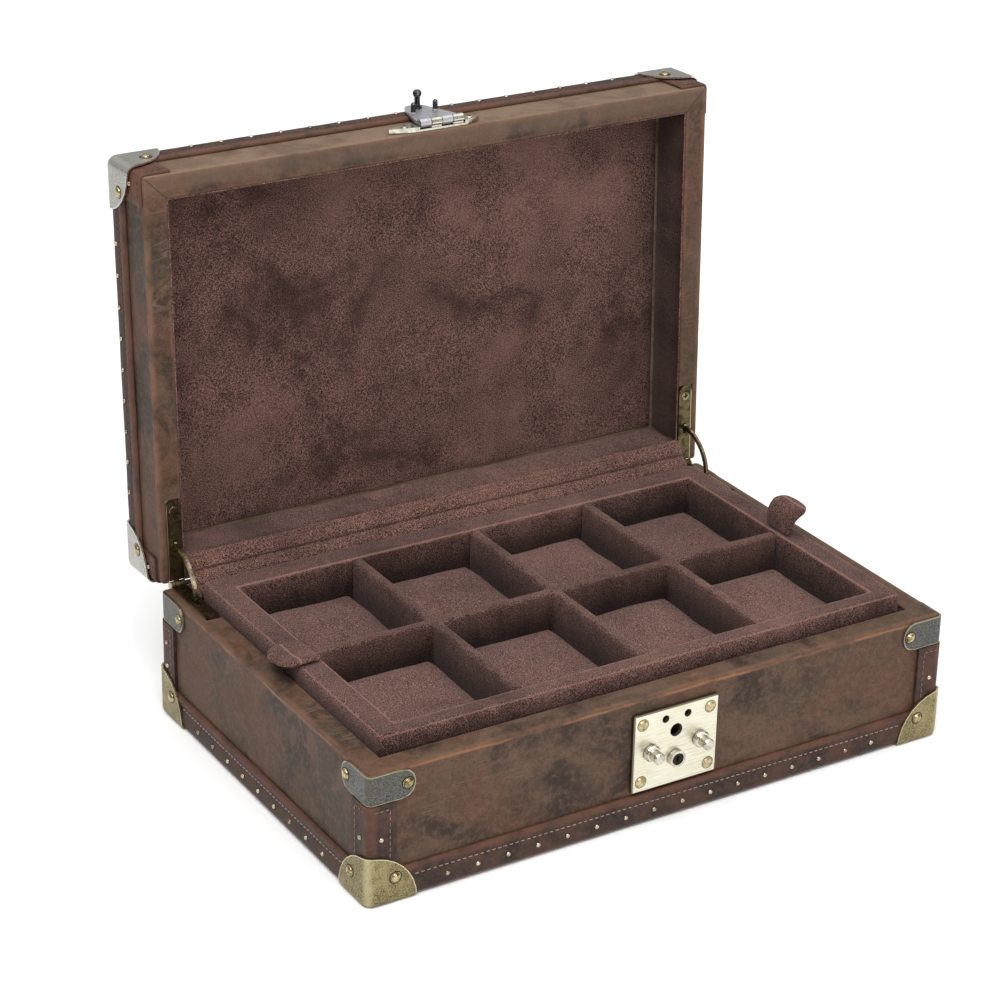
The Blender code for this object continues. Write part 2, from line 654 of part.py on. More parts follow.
def make_hasp_bracket(lid):
    """Two pointed wings, the left one longer, on a back plate with two knuckles and the hinge pin."""
    back = -(HALF_Y + GAP)
    low = HASP_Z - 2.0
    high = HASP_Z + 6.0
    middle = (low + high) / 2
    left = LOCK_X - HASP_WING_LEFT
    right = LOCK_X + HASP_WING_RIGHT
    root_left = LOCK_X - HASP_WING_ROOT
    root_right = LOCK_X + HASP_WING_ROOT
    outline = [(left, middle - 0.6), (root_left, low), (root_right, low), (right, middle - 0.6),
               (right, middle + 0.6), (root_right, high), (root_left, high), (left, middle + 0.6)]
    bracket = add_object("hasp_bracket", upright_plate(outline, back - 2.4, back), "nickel", lid)
    bed = box(LOCK_X - 12.9, LOCK_X + 12.9, back - 5, back - 1.0, low - 1, high + 1)
    boolean(bracket, bed, "DIFFERENCE", lid)
    for index in (1, 3):
        x0, x1 = hasp_knuckle(index)
        boolean(bracket, rod((x0, HASP_Y, HASP_Z), (1, 0, 0), KNUCKLE_R, x1 - x0, 20), "UNION", lid)
        web = box(x0, x1, HASP_Y, back - 0.5, HASP_Z - 1.4, HASP_Z + 1.6)
        boolean(bracket, web, "UNION", lid)
    first = hasp_knuckle(0)[0]
    last = hasp_knuckle(3)[1]
    pin = rod((first, HASP_Y, HASP_Z), (1, 0, 0), 0.95, last - first - 0.5, 12)
    boolean(bracket, pin, "UNION", lid)


def make_hasp(lid):
    """The hanging leaf with two short pins, and the ball-headed post riveted to it."""
    hasp = add_pivot("hasp_pivot", (LOCK_X, HASP_Y, HASP_Z), -180.0, lid)
    back = HASP_Y + 0.8
    front = back - HASP_T
    half = 2 * KNUCKLE_STEP - 0.2
    tip_r = 6.4
    outline = [(LOCK_X + half, HASP_Z - 2.6), (LOCK_X - half, HASP_Z - 2.6),
               (LOCK_X - half, HASP_Z - 4.4)]
    outline += arc(LOCK_X, HASP_POST_Z, tip_r, 195, 345, 12)
    outline += [(LOCK_X + half, HASP_Z - 4.4)]
    leaf = add_object("hasp_leaf", upright_plate(outline, front, back), "hasp_grey", hasp)
    for index in (0, 2):
        x0, x1 = hasp_knuckle(index)
        boolean(leaf, box(x0, x1, front, back, HASP_Z - 3.4, HASP_Z), "UNION", hasp)
        boolean(leaf, rod((x0, HASP_Y, HASP_Z), (1, 0, 0), KNUCKLE_R, x1 - x0, 20), "UNION", hasp)
    bore = rod((LOCK_X - 14, HASP_Y, HASP_Z), (1, 0, 0), 1.25, 28, 12)
    boolean(leaf, bore, "DIFFERENCE", hasp)
    for sx in (-1, 1):
        x = LOCK_X + sx * SMALL_HOLE_DX
        pin = turned([(1.3, -0.5), (1.3, 4.4), (0.7, 5.2)], (x, back, HASP_PIN_Z), (0, 1, 0), 14)
        boolean(leaf, pin, "UNION", hasp)
    boolean(leaf, rod((LOCK_X, front - 1, HASP_POST_Z), (0, 1, 0), 1.9, 5, 16), "DIFFERENCE", hasp)
    profile = [(1.6, -2.6), (2.8, -2.4), (2.8, -1.8), (1.5, -1.8), (1.5, GAP), (2.4, GAP), (2.4, 1.0),
               (1.5, 1.2), (1.5, 5.7), (2.0, 6.3), (2.3, 7.4), (2.1, 8.4), (1.3, 9.2)]
    add_object("hasp_post", turned(profile, (LOCK_X, back, HASP_POST_Z), (0, 1, 0), 18), "nickel", hasp)


# ---------------------------------------------------------------- the tray

def well_columns():
    """The left and right side of each column of compartments."""
    width = (2 * WELL_HALF_X - (COLUMNS - 1) * DIVIDER_T) / COLUMNS
    return [(-WELL_HALF_X + i * (width + DIVIDER_T), -WELL_HALF_X + i * (width + DIVIDER_T) + width)
            for i in range(COLUMNS)]


def well_rows():
    """The front and back of each row of compartments, the back row first."""
    depth = (WELL_BACK - WELL_FRONT - DIVIDER_T) / ROWS
    return [(WELL_BACK - depth, WELL_BACK), (WELL_FRONT, WELL_FRONT + depth)]


def make_tray(tray):
    well_y = (WELL_FRONT + WELL_BACK) / 2
    well_half_y = (WELL_BACK - WELL_FRONT) / 2
    outer = [(0.0, TRAY_LOW), (0.0, TRAY_TOP - 2.4), (-0.35, TRAY_TOP - 1.2), (-1.2, TRAY_TOP - 0.35),
             (-2.4, TRAY_TOP)]
    inner = [(0.9, TRAY_TOP), (0.25, TRAY_TOP - 0.25), (0.0, TRAY_TOP - 0.9), (0.0, TRAY_FLOOR)]
    loops = []
    for offset, z in outer:
        loops.append([(x, y, z) for x, y in rounded_rectangle(
            0, 0, TRAY_HALF_X + offset, TRAY_HALF_Y + offset, 2.8 + offset, 3)])
    for offset, z in inner:
        loops.append([(x, y, z) for x, y in rounded_rectangle(
            0, well_y, WELL_HALF_X + offset, well_half_y + offset, 0.4 + offset, 3)])
    add_object("tray_frame", loft(loops), "suede", tray)
    make_dividers(tray)
    make_pull_tabs(tray)
    make_cushions(tray)


def make_dividers(tray):
    """Three dividers front to back and one across, halved together as one grid."""
    top = TRAY_TOP - 0.1
    columns = well_columns()
    front_row = well_rows()[1]
    back_row = well_rows()[0]
    gaps = [(left[1], right[0]) for left, right in zip(columns, columns[1:])]
    x_end = WELL_HALF_X - GAP
    y_low, y_high = WELL_FRONT + GAP, WELL_BACK - GAP
    bar_low, bar_high = front_row[1], back_row[0]
    outline = [(-x_end, bar_low)]
    for x0, x1 in gaps:
        outline += [(x0, bar_low), (x0, y_low), (x1, y_low), (x1, bar_low)]
    outline += [(x_end, bar_low), (x_end, bar_high)]
    for x0, x1 in reversed(gaps):
        outline += [(x1, bar_high), (x1, y_high), (x0, y_high), (x0, bar_high)]
    outline += [(-x_end, bar_high)]
    grid = add_object("tray_dividers", prism(outline, TRAY_FLOOR + GAP, top), "suede", tray)
    edge = grid.modifiers.new("Edge", "BEVEL")
    edge.width = 1.1 * MM
    edge.segments = 2
    edge.limit_method = "ANGLE"
    edge.angle_limit = math.radians(60)


def make_pull_tabs(tray):
    """Two suede straps, each from a compartment's edge outwards over the border."""
    middle = (well_rows()[0][0] + well_rows()[1][1]) / 2
    for side, sx, reach in (("left", -1, 19.5), ("right", 1, 13.5)):
        root = WELL_HALF_X + 1.2
        low = TRAY_TOP + GAP
        section = [(root, low), (root + reach, low), (root + reach + 0.4, low + 0.7),
                   (root + reach, low + 1.4), (root, low + 1.4), (root - 0.4, low + 0.7)]
        loops = [[(x, y, z) for x, z in section] for y in (middle - TAB_HALF, middle + TAB_HALF)]
        add_object(f"tray_pull_tab_{side}", on_side(loft(loops), sx), "suede", tray)


def make_cushions(tray):
    number = 0
    for y0, y1 in well_rows():
        for x0, x1 in well_columns():
            number += 1
            pivot = add_pivot(f"cushion_lift_{number}", ((x0 + x1) / 2, (y0 + y1) / 2, TRAY_FLOOR), 0.0, tray)
            hx = (x1 - x0) / 2 - CUSHION_EDGE
            hy = (y1 - y0) / 2 - CUSHION_EDGE
            loops = []
            for inset, z in ((1.2, TRAY_FLOOR + GAP), (0.0, TRAY_FLOOR + GAP + 1.4),
                             (0.0, CUSHION_TOP - 2.2), (0.8, CUSHION_TOP - 0.7), (2.6, CUSHION_TOP)):
                loops.append([(x, y, z) for x, y in rounded_rectangle(
                    (x0 + x1) / 2, (y0 + y1) / 2, hx - inset, hy - inset, 3.4 - inset, 3)])
            add_object(f"watch_cushion_{number}", loft(loops), "suede", pivot)


# ---------------------------------------------------------------- assembly

def main():
    clear_scene()
    make_base_shell()
    make_base_corners()
    make_lock()
    make_lock_movers()
    lid = add_pivot("lid_pivot", (0.0, HINGE_Y, HINGE_Z), -LID_OPEN_DEG)
    make_lid(lid)
    make_hasp_bracket(lid)
    make_hasp(lid)
    for side, sx in (("left", -1), ("right", 1)):
        make_base_leaf(side, sx)
        make_lid_leaf(side, sx, lid)
        make_stay(side, sx)
    make_tray(add_pivot("tray_lift", (0.0, 0.0, TRAY_LOW)))


main()
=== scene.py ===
"""Looks for the leather watch box: materials, stitching, tacks, rivets, suede and the hinge flap."""

import math

import bmesh
import bpy
import numpy as np
from mathutils import Matrix, Vector, noise


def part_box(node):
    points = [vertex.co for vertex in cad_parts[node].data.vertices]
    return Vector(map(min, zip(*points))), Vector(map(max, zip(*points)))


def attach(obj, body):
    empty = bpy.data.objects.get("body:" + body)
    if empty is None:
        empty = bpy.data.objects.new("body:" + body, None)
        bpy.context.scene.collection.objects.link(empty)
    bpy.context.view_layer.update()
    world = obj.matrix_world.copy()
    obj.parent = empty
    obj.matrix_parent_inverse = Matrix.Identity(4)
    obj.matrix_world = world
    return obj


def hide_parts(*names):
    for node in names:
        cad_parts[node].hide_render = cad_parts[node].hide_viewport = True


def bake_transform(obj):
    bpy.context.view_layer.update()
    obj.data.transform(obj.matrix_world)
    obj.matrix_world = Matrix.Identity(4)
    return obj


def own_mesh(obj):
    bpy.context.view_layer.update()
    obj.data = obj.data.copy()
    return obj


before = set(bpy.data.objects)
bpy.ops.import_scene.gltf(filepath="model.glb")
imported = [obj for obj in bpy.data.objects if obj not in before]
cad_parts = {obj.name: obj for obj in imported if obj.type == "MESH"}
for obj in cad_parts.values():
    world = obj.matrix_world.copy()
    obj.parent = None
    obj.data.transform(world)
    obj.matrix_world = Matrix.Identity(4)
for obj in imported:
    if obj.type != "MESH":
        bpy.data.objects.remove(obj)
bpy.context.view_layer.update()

# ---------------------------------------------------------------- sizes, in millimetres

MM = 0.001
HALF_X = 160.0
HALF_Y = 104.0
RIM_Z = 67.5
LID_RIM_Z = 68.1
RIM_WIDTH = 12.0
HINGE = Vector((0.0, 105.3, 67.8))
LOCK_X = 2.1
CAP_X = 163.2
CAP_Y = 107.2
CAP_R = 26.2
LID_CAP_Z = 103.0
LID_CAP_SQUASH = 0.92
LID_TOP = 101.9
BINDING_FACE = 2.0
BRACKET_Z = 59.15
LOCK_Z = 39.25
STRIP_FACE = 1.8
TACK_PITCH = 16.1
TACK_R = 1.2
TACK_SHADOW_R = 1.7
STITCH_PITCH = 3.1
RIVET_R = 2.6
RIVET_SHADOW_R = 3.25
PLATE_FACE_Y = -106.6
TRAY_TOP = 75.3
TRAY_MIDDLE_Y = -2.5
PANEL_GAP = 2.1
FLAP_HALF_X = 147.7
CLOTH_STEPS = 20

SIDES = (("left", -1), ("right", 1))
CORNERS = ((-1, -1), (1, -1), (-1, 1), (1, 1))

OPEN_ANGLE = 92.0
OPEN = (Matrix.Translation(HINGE) @ Matrix.Rotation(math.radians(-OPEN_ANGLE), 4, "X")
        @ Matrix.Translation(-HINGE))
STILL = Matrix.Identity(4)


# ---------------------------------------------------------------- shader helpers

MATERIALS = {}


class Look:
    """A node material, kept in MATERIALS by its name, with short calls for the nodes used here."""

    def __init__(self, name, roughness=0.6, metallic=0.0, specular=0.5, sheen=0.0, lid=False):
        material = bpy.data.materials.new(name)
        material.use_nodes = True
        MATERIALS[name] = material
        self.nodes = material.node_tree.nodes
        self.links = material.node_tree.links
        self.shader = self.nodes["Principled BSDF"]
        self.set("Roughness", roughness)
        self.set("Metallic", metallic)
        self.set("Specular IOR Level", specular)
        self.set("Sheen Weight", sheen)
        self.place = self.nodes.new("ShaderNodeTexCoord").outputs["Object"]
        if lid:
            self.place = self.shut_lid(self.place)

    def set(self, socket, value):
        self.shader.inputs[socket].default_value = value

    def link(self, output, target):
        self.links.new(output, target)

    def feed(self, node, socket, value):
        """Plug an output into a node's socket, or set the socket to a number or a colour."""
        if isinstance(value, bpy.types.NodeSocket):
            self.links.new(value, node.inputs[socket])
        else:
            node.inputs[socket].default_value = value

    def mapped(self, vector, **sockets):
        node = self.nodes.new("ShaderNodeMapping")
        self.link(vector, node.inputs["Vector"])
        for socket, value in sockets.items():
            node.inputs[socket].default_value = value
        return node.outputs["Vector"]

    def shut_lid(self, vector):
        """Where each point lies when the lid is shut."""
        return self.mapped(vector, Location=OPEN.inverted().translation * MM,
                           Rotation=(math.radians(OPEN_ANGLE), 0.0, 0.0))

    def stretched(self, scale, turn=(0.0, 0.0, 0.0)):
        return self.mapped(self.place, Scale=scale, Rotation=turn)

    def noise(self, scale, detail=4.0, rough=0.55, distortion=0.0, place=None):
        node = self.nodes.new("ShaderNodeTexNoise")
        for socket, value in (("Vector", place or self.place), ("Scale", scale), ("Detail", detail),
                              ("Roughness", rough), ("Distortion", distortion)):
            self.feed(node, socket, value)
        return node.outputs["Fac"]

    def cells(self, scale):
        node = self.nodes.new("ShaderNodeTexVoronoi")
        self.feed(node, "Vector", self.place)
        self.feed(node, "Scale", scale)
        return node.outputs["Distance"]

    def math(self, operation, *values):
        node = self.nodes.new("ShaderNodeMath")
        node.operation = operation
        for i, value in enumerate(values):
            self.feed(node, i, value)
        return node.outputs["Value"]

    def plus(self, a, b):
        return self.math("ADD", a, b)

    def minus(self, a, b):
        return self.math("SUBTRACT", a, b)

    def times(self, a, b):
        return self.math("MULTIPLY", a, b)

    def most(self, a, b):
        return self.math("MAXIMUM", a, b)

    def least(self, a, b):
        return self.math("MINIMUM", a, b)

    def size(self, value):
        return self.math("ABSOLUTE", value)

    def gap(self, a, b):
        """How far apart two values are."""
        return self.size(self.minus(a, b))

    def reach(self, *sides):
        """The length of a line with these sides."""
        total = self.times(sides[0], sides[0])
        for side in sides[1:]:
            total = self.plus(total, self.times(side, side))
        return self.math("SQRT", total)

    def step(self, value, low, high, start=0.0, end=1.0):
        """A smooth rise from start to end as value goes from low to high."""
        node = self.nodes.new("ShaderNodeMapRange")
        node.interpolation_type = "SMOOTHSTEP"
        self.feed(node, "Value", value)
        for socket, number in (("From Min", low), ("From Max", high), ("To Min", start), ("To Max", end)):
            node.inputs[socket].default_value = number
        return node.outputs["Result"]

    def fade(self, value, low, high):
        """A smooth fall from 1 to 0."""
        return self.step(value, low, high, 1.0, 0.0)

    def mix(self, factor, a, b, blend="MIX"):
        node = self.nodes.new("ShaderNodeMix")
        node.data_type = "RGBA"
        node.blend_type = blend
        self.feed(node, "Factor", factor)
        for socket, value in ((6, a), (7, b)):
            self.feed(node, socket, value if isinstance(value, bpy.types.NodeSocket) else (*value, 1.0))
        return node.outputs[2]

    def blend(self, marks, low, high, dark, light):
        """From dark to light as the marks rise from low to high."""
        return self.mix(self.step(marks, low, high), dark, light)

    def stain(self, tone, marks, low, high, strength, colour):
        """Lay a colour over the tone where the marks are strong."""
        return self.mix(self.step(marks, low, high, 0.0, strength), tone, colour)

    def axes(self):
        node = self.nodes.new("ShaderNodeSeparateXYZ")
        self.link(self.place, node.inputs["Vector"])
        return node.outputs["X"], node.outputs["Y"], node.outputs["Z"]

    def from_sides(self, x, y):
        """How far in each point is from the case's ends, and from its front and back."""
        return self.minus(HALF_X * MM, self.size(x)), self.minus(HALF_Y * MM, self.size(y))

    def colour(self, output):
        self.link(output, self.shader.inputs["Base Color"])

    def rough(self, output):
        self.link(output, self.shader.inputs["Roughness"])

    def bump(self, layers):
        """layers is a list of (height output, depth in mm)."""
        normal = None
        for height, depth in layers:
            node = self.nodes.new("ShaderNodeBump")
            node.inputs["Strength"].default_value = 1.0
            node.inputs["Distance"].default_value = depth * MM
            self.link(height, node.inputs["Height"])
            if normal:
                self.link(normal, node.inputs["Normal"])
            normal = node.outputs["Normal"]
        self.link(normal, self.shader.inputs["Normal"])


# ---------------------------------------------------------------- materials

def leather(name, rim_z, lid=False):
    """Cloudy grey-brown leather with scratches, worn orange-brown on its edges."""
    look = Look(name, specular=0.13, lid=lid)
    clouds = look.noise(22.0, 5.0, 0.62, 0.6)
    fine = look.noise(330.0, 5.0, 0.7)
    olive_place = look.stretched((1.0, 1.3, 0.8), (0.4, 0.7, 0.2))
    rubbed_place = look.stretched((1.0, 1.0, 1.4), (0.7, 0.1, 0.4))
    tone = look.blend(clouds, 0.39, 0.62, (0.034, 0.0225, 0.0165), (0.108, 0.067, 0.0460))
    for marks, low, high, strength, colour in (
            (look.noise(11.0, 4.0, 0.55, 1.2), 0.50, 0.64, 0.85, (0.100, 0.049, 0.031)),
            (look.noise(15.0, 3.0, 0.5, 0.8, olive_place), 0.50, 0.64, 0.65, (0.066, 0.048, 0.032)),
            (look.noise(34.0, 4.0, 0.65, 1.5, rubbed_place), 0.54, 0.66, 0.60, (0.128, 0.069, 0.046)),
            (fine, 0.44, 0.66, 0.50, (0.132, 0.082, 0.055)),
            (look.noise(900.0, 3.0, 0.75), 0.50, 0.64, 0.42, (0.024, 0.0150, 0.0110))):
        tone = look.stain(tone, marks, low, high, strength, colour)

    scratch = 0.0
    for turn, scale in (((0.3, 0.5, 0.6), 60.0), ((0.9, -0.4, -0.8), 45.0), ((0.1, 1.3, 0.2), 75.0)):
        line = look.noise(scale, 2.0, 0.5, 0.3, look.stretched((0.16, 1.0, 3.5), turn))
        scratch = look.most(scratch, look.fade(look.gap(line, 0.5), 0.0, 0.006))
    scratch = look.times(scratch, look.step(look.noise(30.0, 2.0, 0.5, 0.4), 0.55, 0.68))
    tone = look.mix(look.times(scratch, 0.50), tone, (0.230, 0.155, 0.110))

    x, y, z = look.axes()
    out_x, out_y = look.from_sides(x, y)
    from_rim = look.gap(z, rim_z * MM)
    edge = look.least(look.size(out_x), look.size(out_y))
    inner = look.gap(look.least(out_x, out_y), RIM_WIDTH * MM)
    ragged = look.times(look.noise(120.0, 4.0, 0.65), 0.0030)
    wear = 0.0
    for distance, low, high in ((look.most(from_rim, edge), -0.0014, 0.0024),
                                (look.most(inner, from_rim), -0.0020, 0.0006),
                                (look.most(out_x, out_y), -0.0014, 0.0020)):
        wear = look.most(wear, look.fade(look.minus(distance, ragged), low, high))
    wear = look.times(wear, look.step(look.noise(48.0, 4.0, 0.65), 0.36, 0.62, 0.12, 0.80))
    tone = look.mix(wear, tone, (0.190, 0.098, 0.060) if lid else (0.150, 0.078, 0.048))

    bumps = [(look.noise(1500.0, 3.0, 0.6), 0.05), (look.cells(900.0), 0.05),
             (look.noise(70.0, 4.0, 0.5), 0.25), (fine, 0.12), (scratch, -0.08)]
    if lid:
        # Painted light: the lid's front wall, which faces up when the lid is open, is painted paler in
        # mottled patches, and the front part of its rim, at the top of the open lid, is painted paler too,
        # for the light falling on them from above.
        painted_light_mottle = look.step(look.noise(42.0, 5.0, 0.7, 0.8), 0.38, 0.60, 0.20, 0.80)
        tone = look.mix(look.times(look.fade(y, -0.1037, -0.1034), painted_light_mottle), tone, (0.225, 0.148, 0.096))
        tone = look.mix(look.step(y, -0.0985, -0.0925, 0.38, 0.0), tone, (0.165, 0.108, 0.080))
        mitre = look.fade(look.gap(out_x, out_y), 0.00008, 0.00036)
        seam = look.times(mitre, look.fade(from_rim, 0.0002, 0.0006))
        tone = look.mix(look.times(seam, 0.6), tone, (0.020, 0.011, 0.008))
        bumps.append((seam, -0.2))
    else:
        # Painted highlight: a pale orange line along the fold below the base's rim, for light catching the
        # fold's ridge, with a small bump.
        fold_highlight = look.gap(z, look.plus(0.0640, look.times(clouds, 0.0034)))
        fold_highlight = look.fade(look.minus(fold_highlight, look.times(fine, 0.0006)), 0.0, 0.0007)
        fold_highlight = look.times(fold_highlight, look.step(look.noise(26.0, 3.0, 0.6), 0.40, 0.56, 0.1, 0.85))
        tone = look.mix(fold_highlight, tone, (0.250, 0.112, 0.058))
        bumps.append((fold_highlight, 0.10))
    look.colour(tone)
    look.rough(look.minus(look.step(clouds, 0.3, 0.7, 0.46, 0.66), look.times(wear, 0.08)))
    look.bump(bumps)


def strip_leather(name, lid=False):
    """The darker, redder leather of the bindings and corner strips."""
    look = Look(name, specular=0.22, lid=lid)
    clouds = look.noise(38.0, 5.0, 0.6, 0.6)
    tone = look.blend(clouds, 0.40, 0.60, (0.021, 0.0125, 0.0098), (0.062, 0.030, 0.0200))
    tone = look.stain(tone, look.noise(420.0, 5.0, 0.7), 0.40, 0.66, 0.45, (0.092, 0.050, 0.035))
    x, y, z = look.axes()
    ragged = look.times(look.noise(150.0, 4.0, 0.65), 0.003)
    corner = look.fade(look.minus(look.most(*look.from_sides(x, y)), ragged), -0.0010, 0.0032)
    if lid:
        rolled = look.step(look.plus(z, ragged), (LID_TOP - 1.0) * MM, (LID_TOP + 2.2) * MM)
        lip = look.fade(look.minus(z, ragged), 0.0890, 0.0935)
    else:
        rolled = look.fade(look.minus(z, ragged), -0.0012, 0.0022)
        lip = look.fade(look.minus(look.gap(z, 0.0158), ragged), -0.0008, 0.0010)
    wear = look.most(corner, look.most(rolled, lip))
    wear = look.times(wear, look.step(look.noise(60.0, 4.0, 0.65), 0.34, 0.62, 0.20, 0.85))
    look.colour(look.mix(wear, tone, (0.112, 0.047, 0.028)))
    look.rough(look.step(clouds, 0.3, 0.7, 0.48, 0.66))
    look.bump([(look.noise(1600.0, 3.0, 0.6), 0.05), (look.cells(1000.0), 0.05),
               (look.noise(120.0, 4.0, 0.5), 0.15)])


def suede(name, tint=1.0, lid=False, patches=0.6, painted_shade_depth=None, wall_shade=None, border_highlights=False):
    """Mauve-brown suede: a grainy nap, brushed lighter and darker in patches.

    The depth range paints shade: the suede goes from dark low down to full colour higher up, a painted shade
    in the tray's wells and round the cushions' sides.
    The walls range paints shade the same way by the distance in from the front and the ends of the case,
    darkening the lid lining's walls there.
    The ridges switch paints a highlight on the tray's border, paler along its inner and outer top edges.
    """
    look = Look(name, roughness=0.95, specular=0.08, sheen=0.22, lid=lid)
    look.set("Sheen Roughness", 0.45)
    look.set("Sheen Tint", (0.80, 0.62, 0.58, 1.0))
    brushed = look.noise(13.0, 5.0, 0.62, 0.5, look.stretched((1.0, 1.0, 0.7), (0.2, 0.3, 0.5)))
    streaks = look.noise(50.0, 4.0, 0.65, 0.4, look.stretched((1.0, 1.0, 0.35), (0.1, 0.5, 0.9)))
    grain = look.noise(1900.0, 2.0, 0.8)
    coarse = look.noise(950.0, 3.0, 0.7)
    dark = [c * tint for c in (0.018, 0.0092, 0.0072)]
    light = [c * tint for c in (0.262, 0.140, 0.115)]
    tone = look.blend(grain, 0.44, 0.62, dark, light)
    tone = look.stain(tone, coarse, 0.48, 0.64, 0.30, dark)
    shade = look.plus(look.times(brushed, 0.65), look.times(streaks, 0.35))
    tone = look.mix(look.step(shade, 0.36, 0.52, patches, 0.0), tone, dark)
    tone = look.stain(tone, shade, 0.50, 0.66, patches * 0.45, [c * 0.95 for c in light])
    x, y, z = look.axes()

    # Painted shade: the tone is multiplied towards the grey least as the distance falls from high to low.
    def paint_shade(tone, distance, low, high, least):
        return look.mix(look.fade(distance, low * MM, high * MM), tone, (least, least, least), "MULTIPLY")

    # Painted shade, darker low in the tray's wells and round the cushions' sides.
    if painted_shade_depth:
        tone = paint_shade(tone, z, *painted_shade_depth)
    # Painted highlight along the inner and outer top edges of the tray's border.
    if border_highlights:
        border_highlight = 0.0
        for half_x, half_y, middle_y in ((134.2, 78.0, TRAY_MIDDLE_Y), (145.6, 88.9, 0.0)):
            past_x = look.minus(look.size(x), half_x * MM)
            past_y = look.minus(look.gap(y, middle_y * MM), half_y * MM)
            near = look.step(look.size(look.most(past_x, past_y)), 0.0002, 0.0010, 0.42, 0.0)
            border_highlight = look.most(border_highlight, near)
        border_highlight = look.times(border_highlight, look.step(z, 74.2 * MM, 75.0 * MM))
        tone = look.mix(border_highlight, tone, [c * 1.35 for c in light])
    # Painted shade on the lid lining's walls at its front and ends.
    if wall_shade:
        inside = look.least(look.minus(HALF_X * MM, look.size(x)), look.plus(y, HALF_Y * MM))
        tone = paint_shade(tone, inside, *wall_shade)
    look.colour(tone)
    look.bump([(grain, 0.26), (coarse, 0.26), (look.noise(60.0, 3.0, 0.5), 0.20)])


def cap_metal(name, dark, light, bright, centre_z, lid=False, speckle=0.6):
    """Plated cap: speckled faces, with a painted highlight along the edge of its curve and down its upright
    corner bend.
    """
    look = Look(name, metallic=1.0, lid=lid)
    speckles = look.noise(1500.0, 4.0, 0.75)
    tone = look.blend(speckles, 0.36, 0.62, dark, light)
    tone = look.stain(tone, look.noise(95.0, 4.0, 0.6, 0.5), 0.42, 0.64, speckle, light)
    x, y, z = look.axes()
    dx = look.minus(CAP_X * MM, look.size(x))
    dy = look.minus(CAP_Y * MM, look.size(y))
    dz = look.minus(z, centre_z * MM)
    if lid:
        dz = look.math("DIVIDE", dz, LID_CAP_SQUASH)
    # Painted highlights: a bright line round the cap's curved edge, and a paler band down the corner where
    # its two faces meet.
    edge = look.step(look.reach(dx, dy, dz), (CAP_R - 0.60) * MM, (CAP_R - 0.35) * MM)
    bend = look.step(look.most(dx, dy), 0.0012, 0.0050, 0.45, 0.0)
    look.colour(look.mix(look.most(edge, bend), tone, bright))
    look.rough(look.minus(look.step(speckles, 0.3, 0.7, 0.50, 0.36), look.times(edge, 0.16)))
    look.bump([(speckles, 0.03), (look.noise(500.0, 3.0, 0.6), 0.03)])


def bracket_metal(name):
    """Pewter-plated rim bracket, its curved edge a pale brass line: partly brass worn through the plating,
    partly a painted highlight.
    """
    look = Look(name, metallic=1.0)
    speckles = look.noise(1300.0, 4.0, 0.75)
    tone = look.blend(speckles, 0.38, 0.62, (0.038, 0.040, 0.040), (0.150, 0.152, 0.146))
    tone = look.stain(tone, look.noise(90.0, 4.0, 0.6, 0.5), 0.45, 0.62, 0.6, (0.105, 0.094, 0.062))
    x, y, z = look.axes()
    # Pale brass line round the bracket's curved outline: worn plating and a painted highlight.
    past = look.most(look.minus(look.most(*look.from_sides(x, y)), 15.65 * MM), 0.0)
    rise = look.gap(z, BRACKET_Z * MM)
    look.colour(look.mix(look.step(look.reach(past, rise), 6.85 * MM, 7.0 * MM), tone, (0.34, 0.31, 0.22)))
    look.rough(look.step(speckles, 0.3, 0.7, 0.46, 0.34))
    look.bump([(speckles, 0.03)])


def aged_metal(name, dark, light, roughness, speckle=0.35, marks_depth=0.012):
    """Small fittings: plated metal with a little tarnish and fine marks."""
    look = Look(name, metallic=1.0, roughness=roughness)
    marks = look.noise(900.0, 3.0, 0.7)
    tone = look.blend(look.noise(260.0, 4.0, 0.65, 0.4), 0.40, 0.66, light, dark)
    look.colour(look.stain(tone, marks, 0.55, 0.75, speckle, dark))
    look.rough(look.step(marks, 0.3, 0.7, roughness - 0.06, roughness + 0.10))
    look.bump([(marks, marks_depth)])


def hinge_metal(name):
    """Blackened brass leaf, with a painted highlight along its outer edge."""
    look = Look(name, metallic=1.0)
    tarnish = look.noise(260.0, 4.0, 0.65, 0.4)
    tone = look.blend(tarnish, 0.40, 0.66, (0.130, 0.102, 0.050), (0.035, 0.027, 0.012))
    x, y, z = look.axes()
    # Painted highlight: a pale brass line along the leaf's outer edge.
    look.colour(look.stain(tone, look.size(x), 155.5 * MM, 156.0 * MM, 0.85, (0.50, 0.42, 0.26)))
    look.rough(look.step(tarnish, 0.3, 0.7, 0.32, 0.46))
    look.bump([(look.noise(700.0, 3.0, 0.6), 0.010)])


def hasp_metal(name):
    """Satin grey leaf; the polished pins standing on it are painted near-black, a painted dark reflection."""
    look = Look(name, metallic=1.0, lid=True)
    marks = look.noise(900.0, 3.0, 0.7)
    tone = look.blend(marks, 0.35, 0.70, (0.560, 0.560, 0.575), (0.400, 0.400, 0.415))
    x, y, z = look.axes()
    # Painted reflection: the pins are coloured near-black and glossy, for chrome mirroring dark surroundings.
    pins = look.times(look.fade(y, -0.1094, -0.1090), look.step(z, 0.0735, 0.0740))
    look.colour(look.mix(pins, tone, (0.060, 0.060, 0.063)))
    look.rough(look.step(pins, 0.0, 1.0, 0.45, 0.08))
    look.bump([(marks, 0.003)])


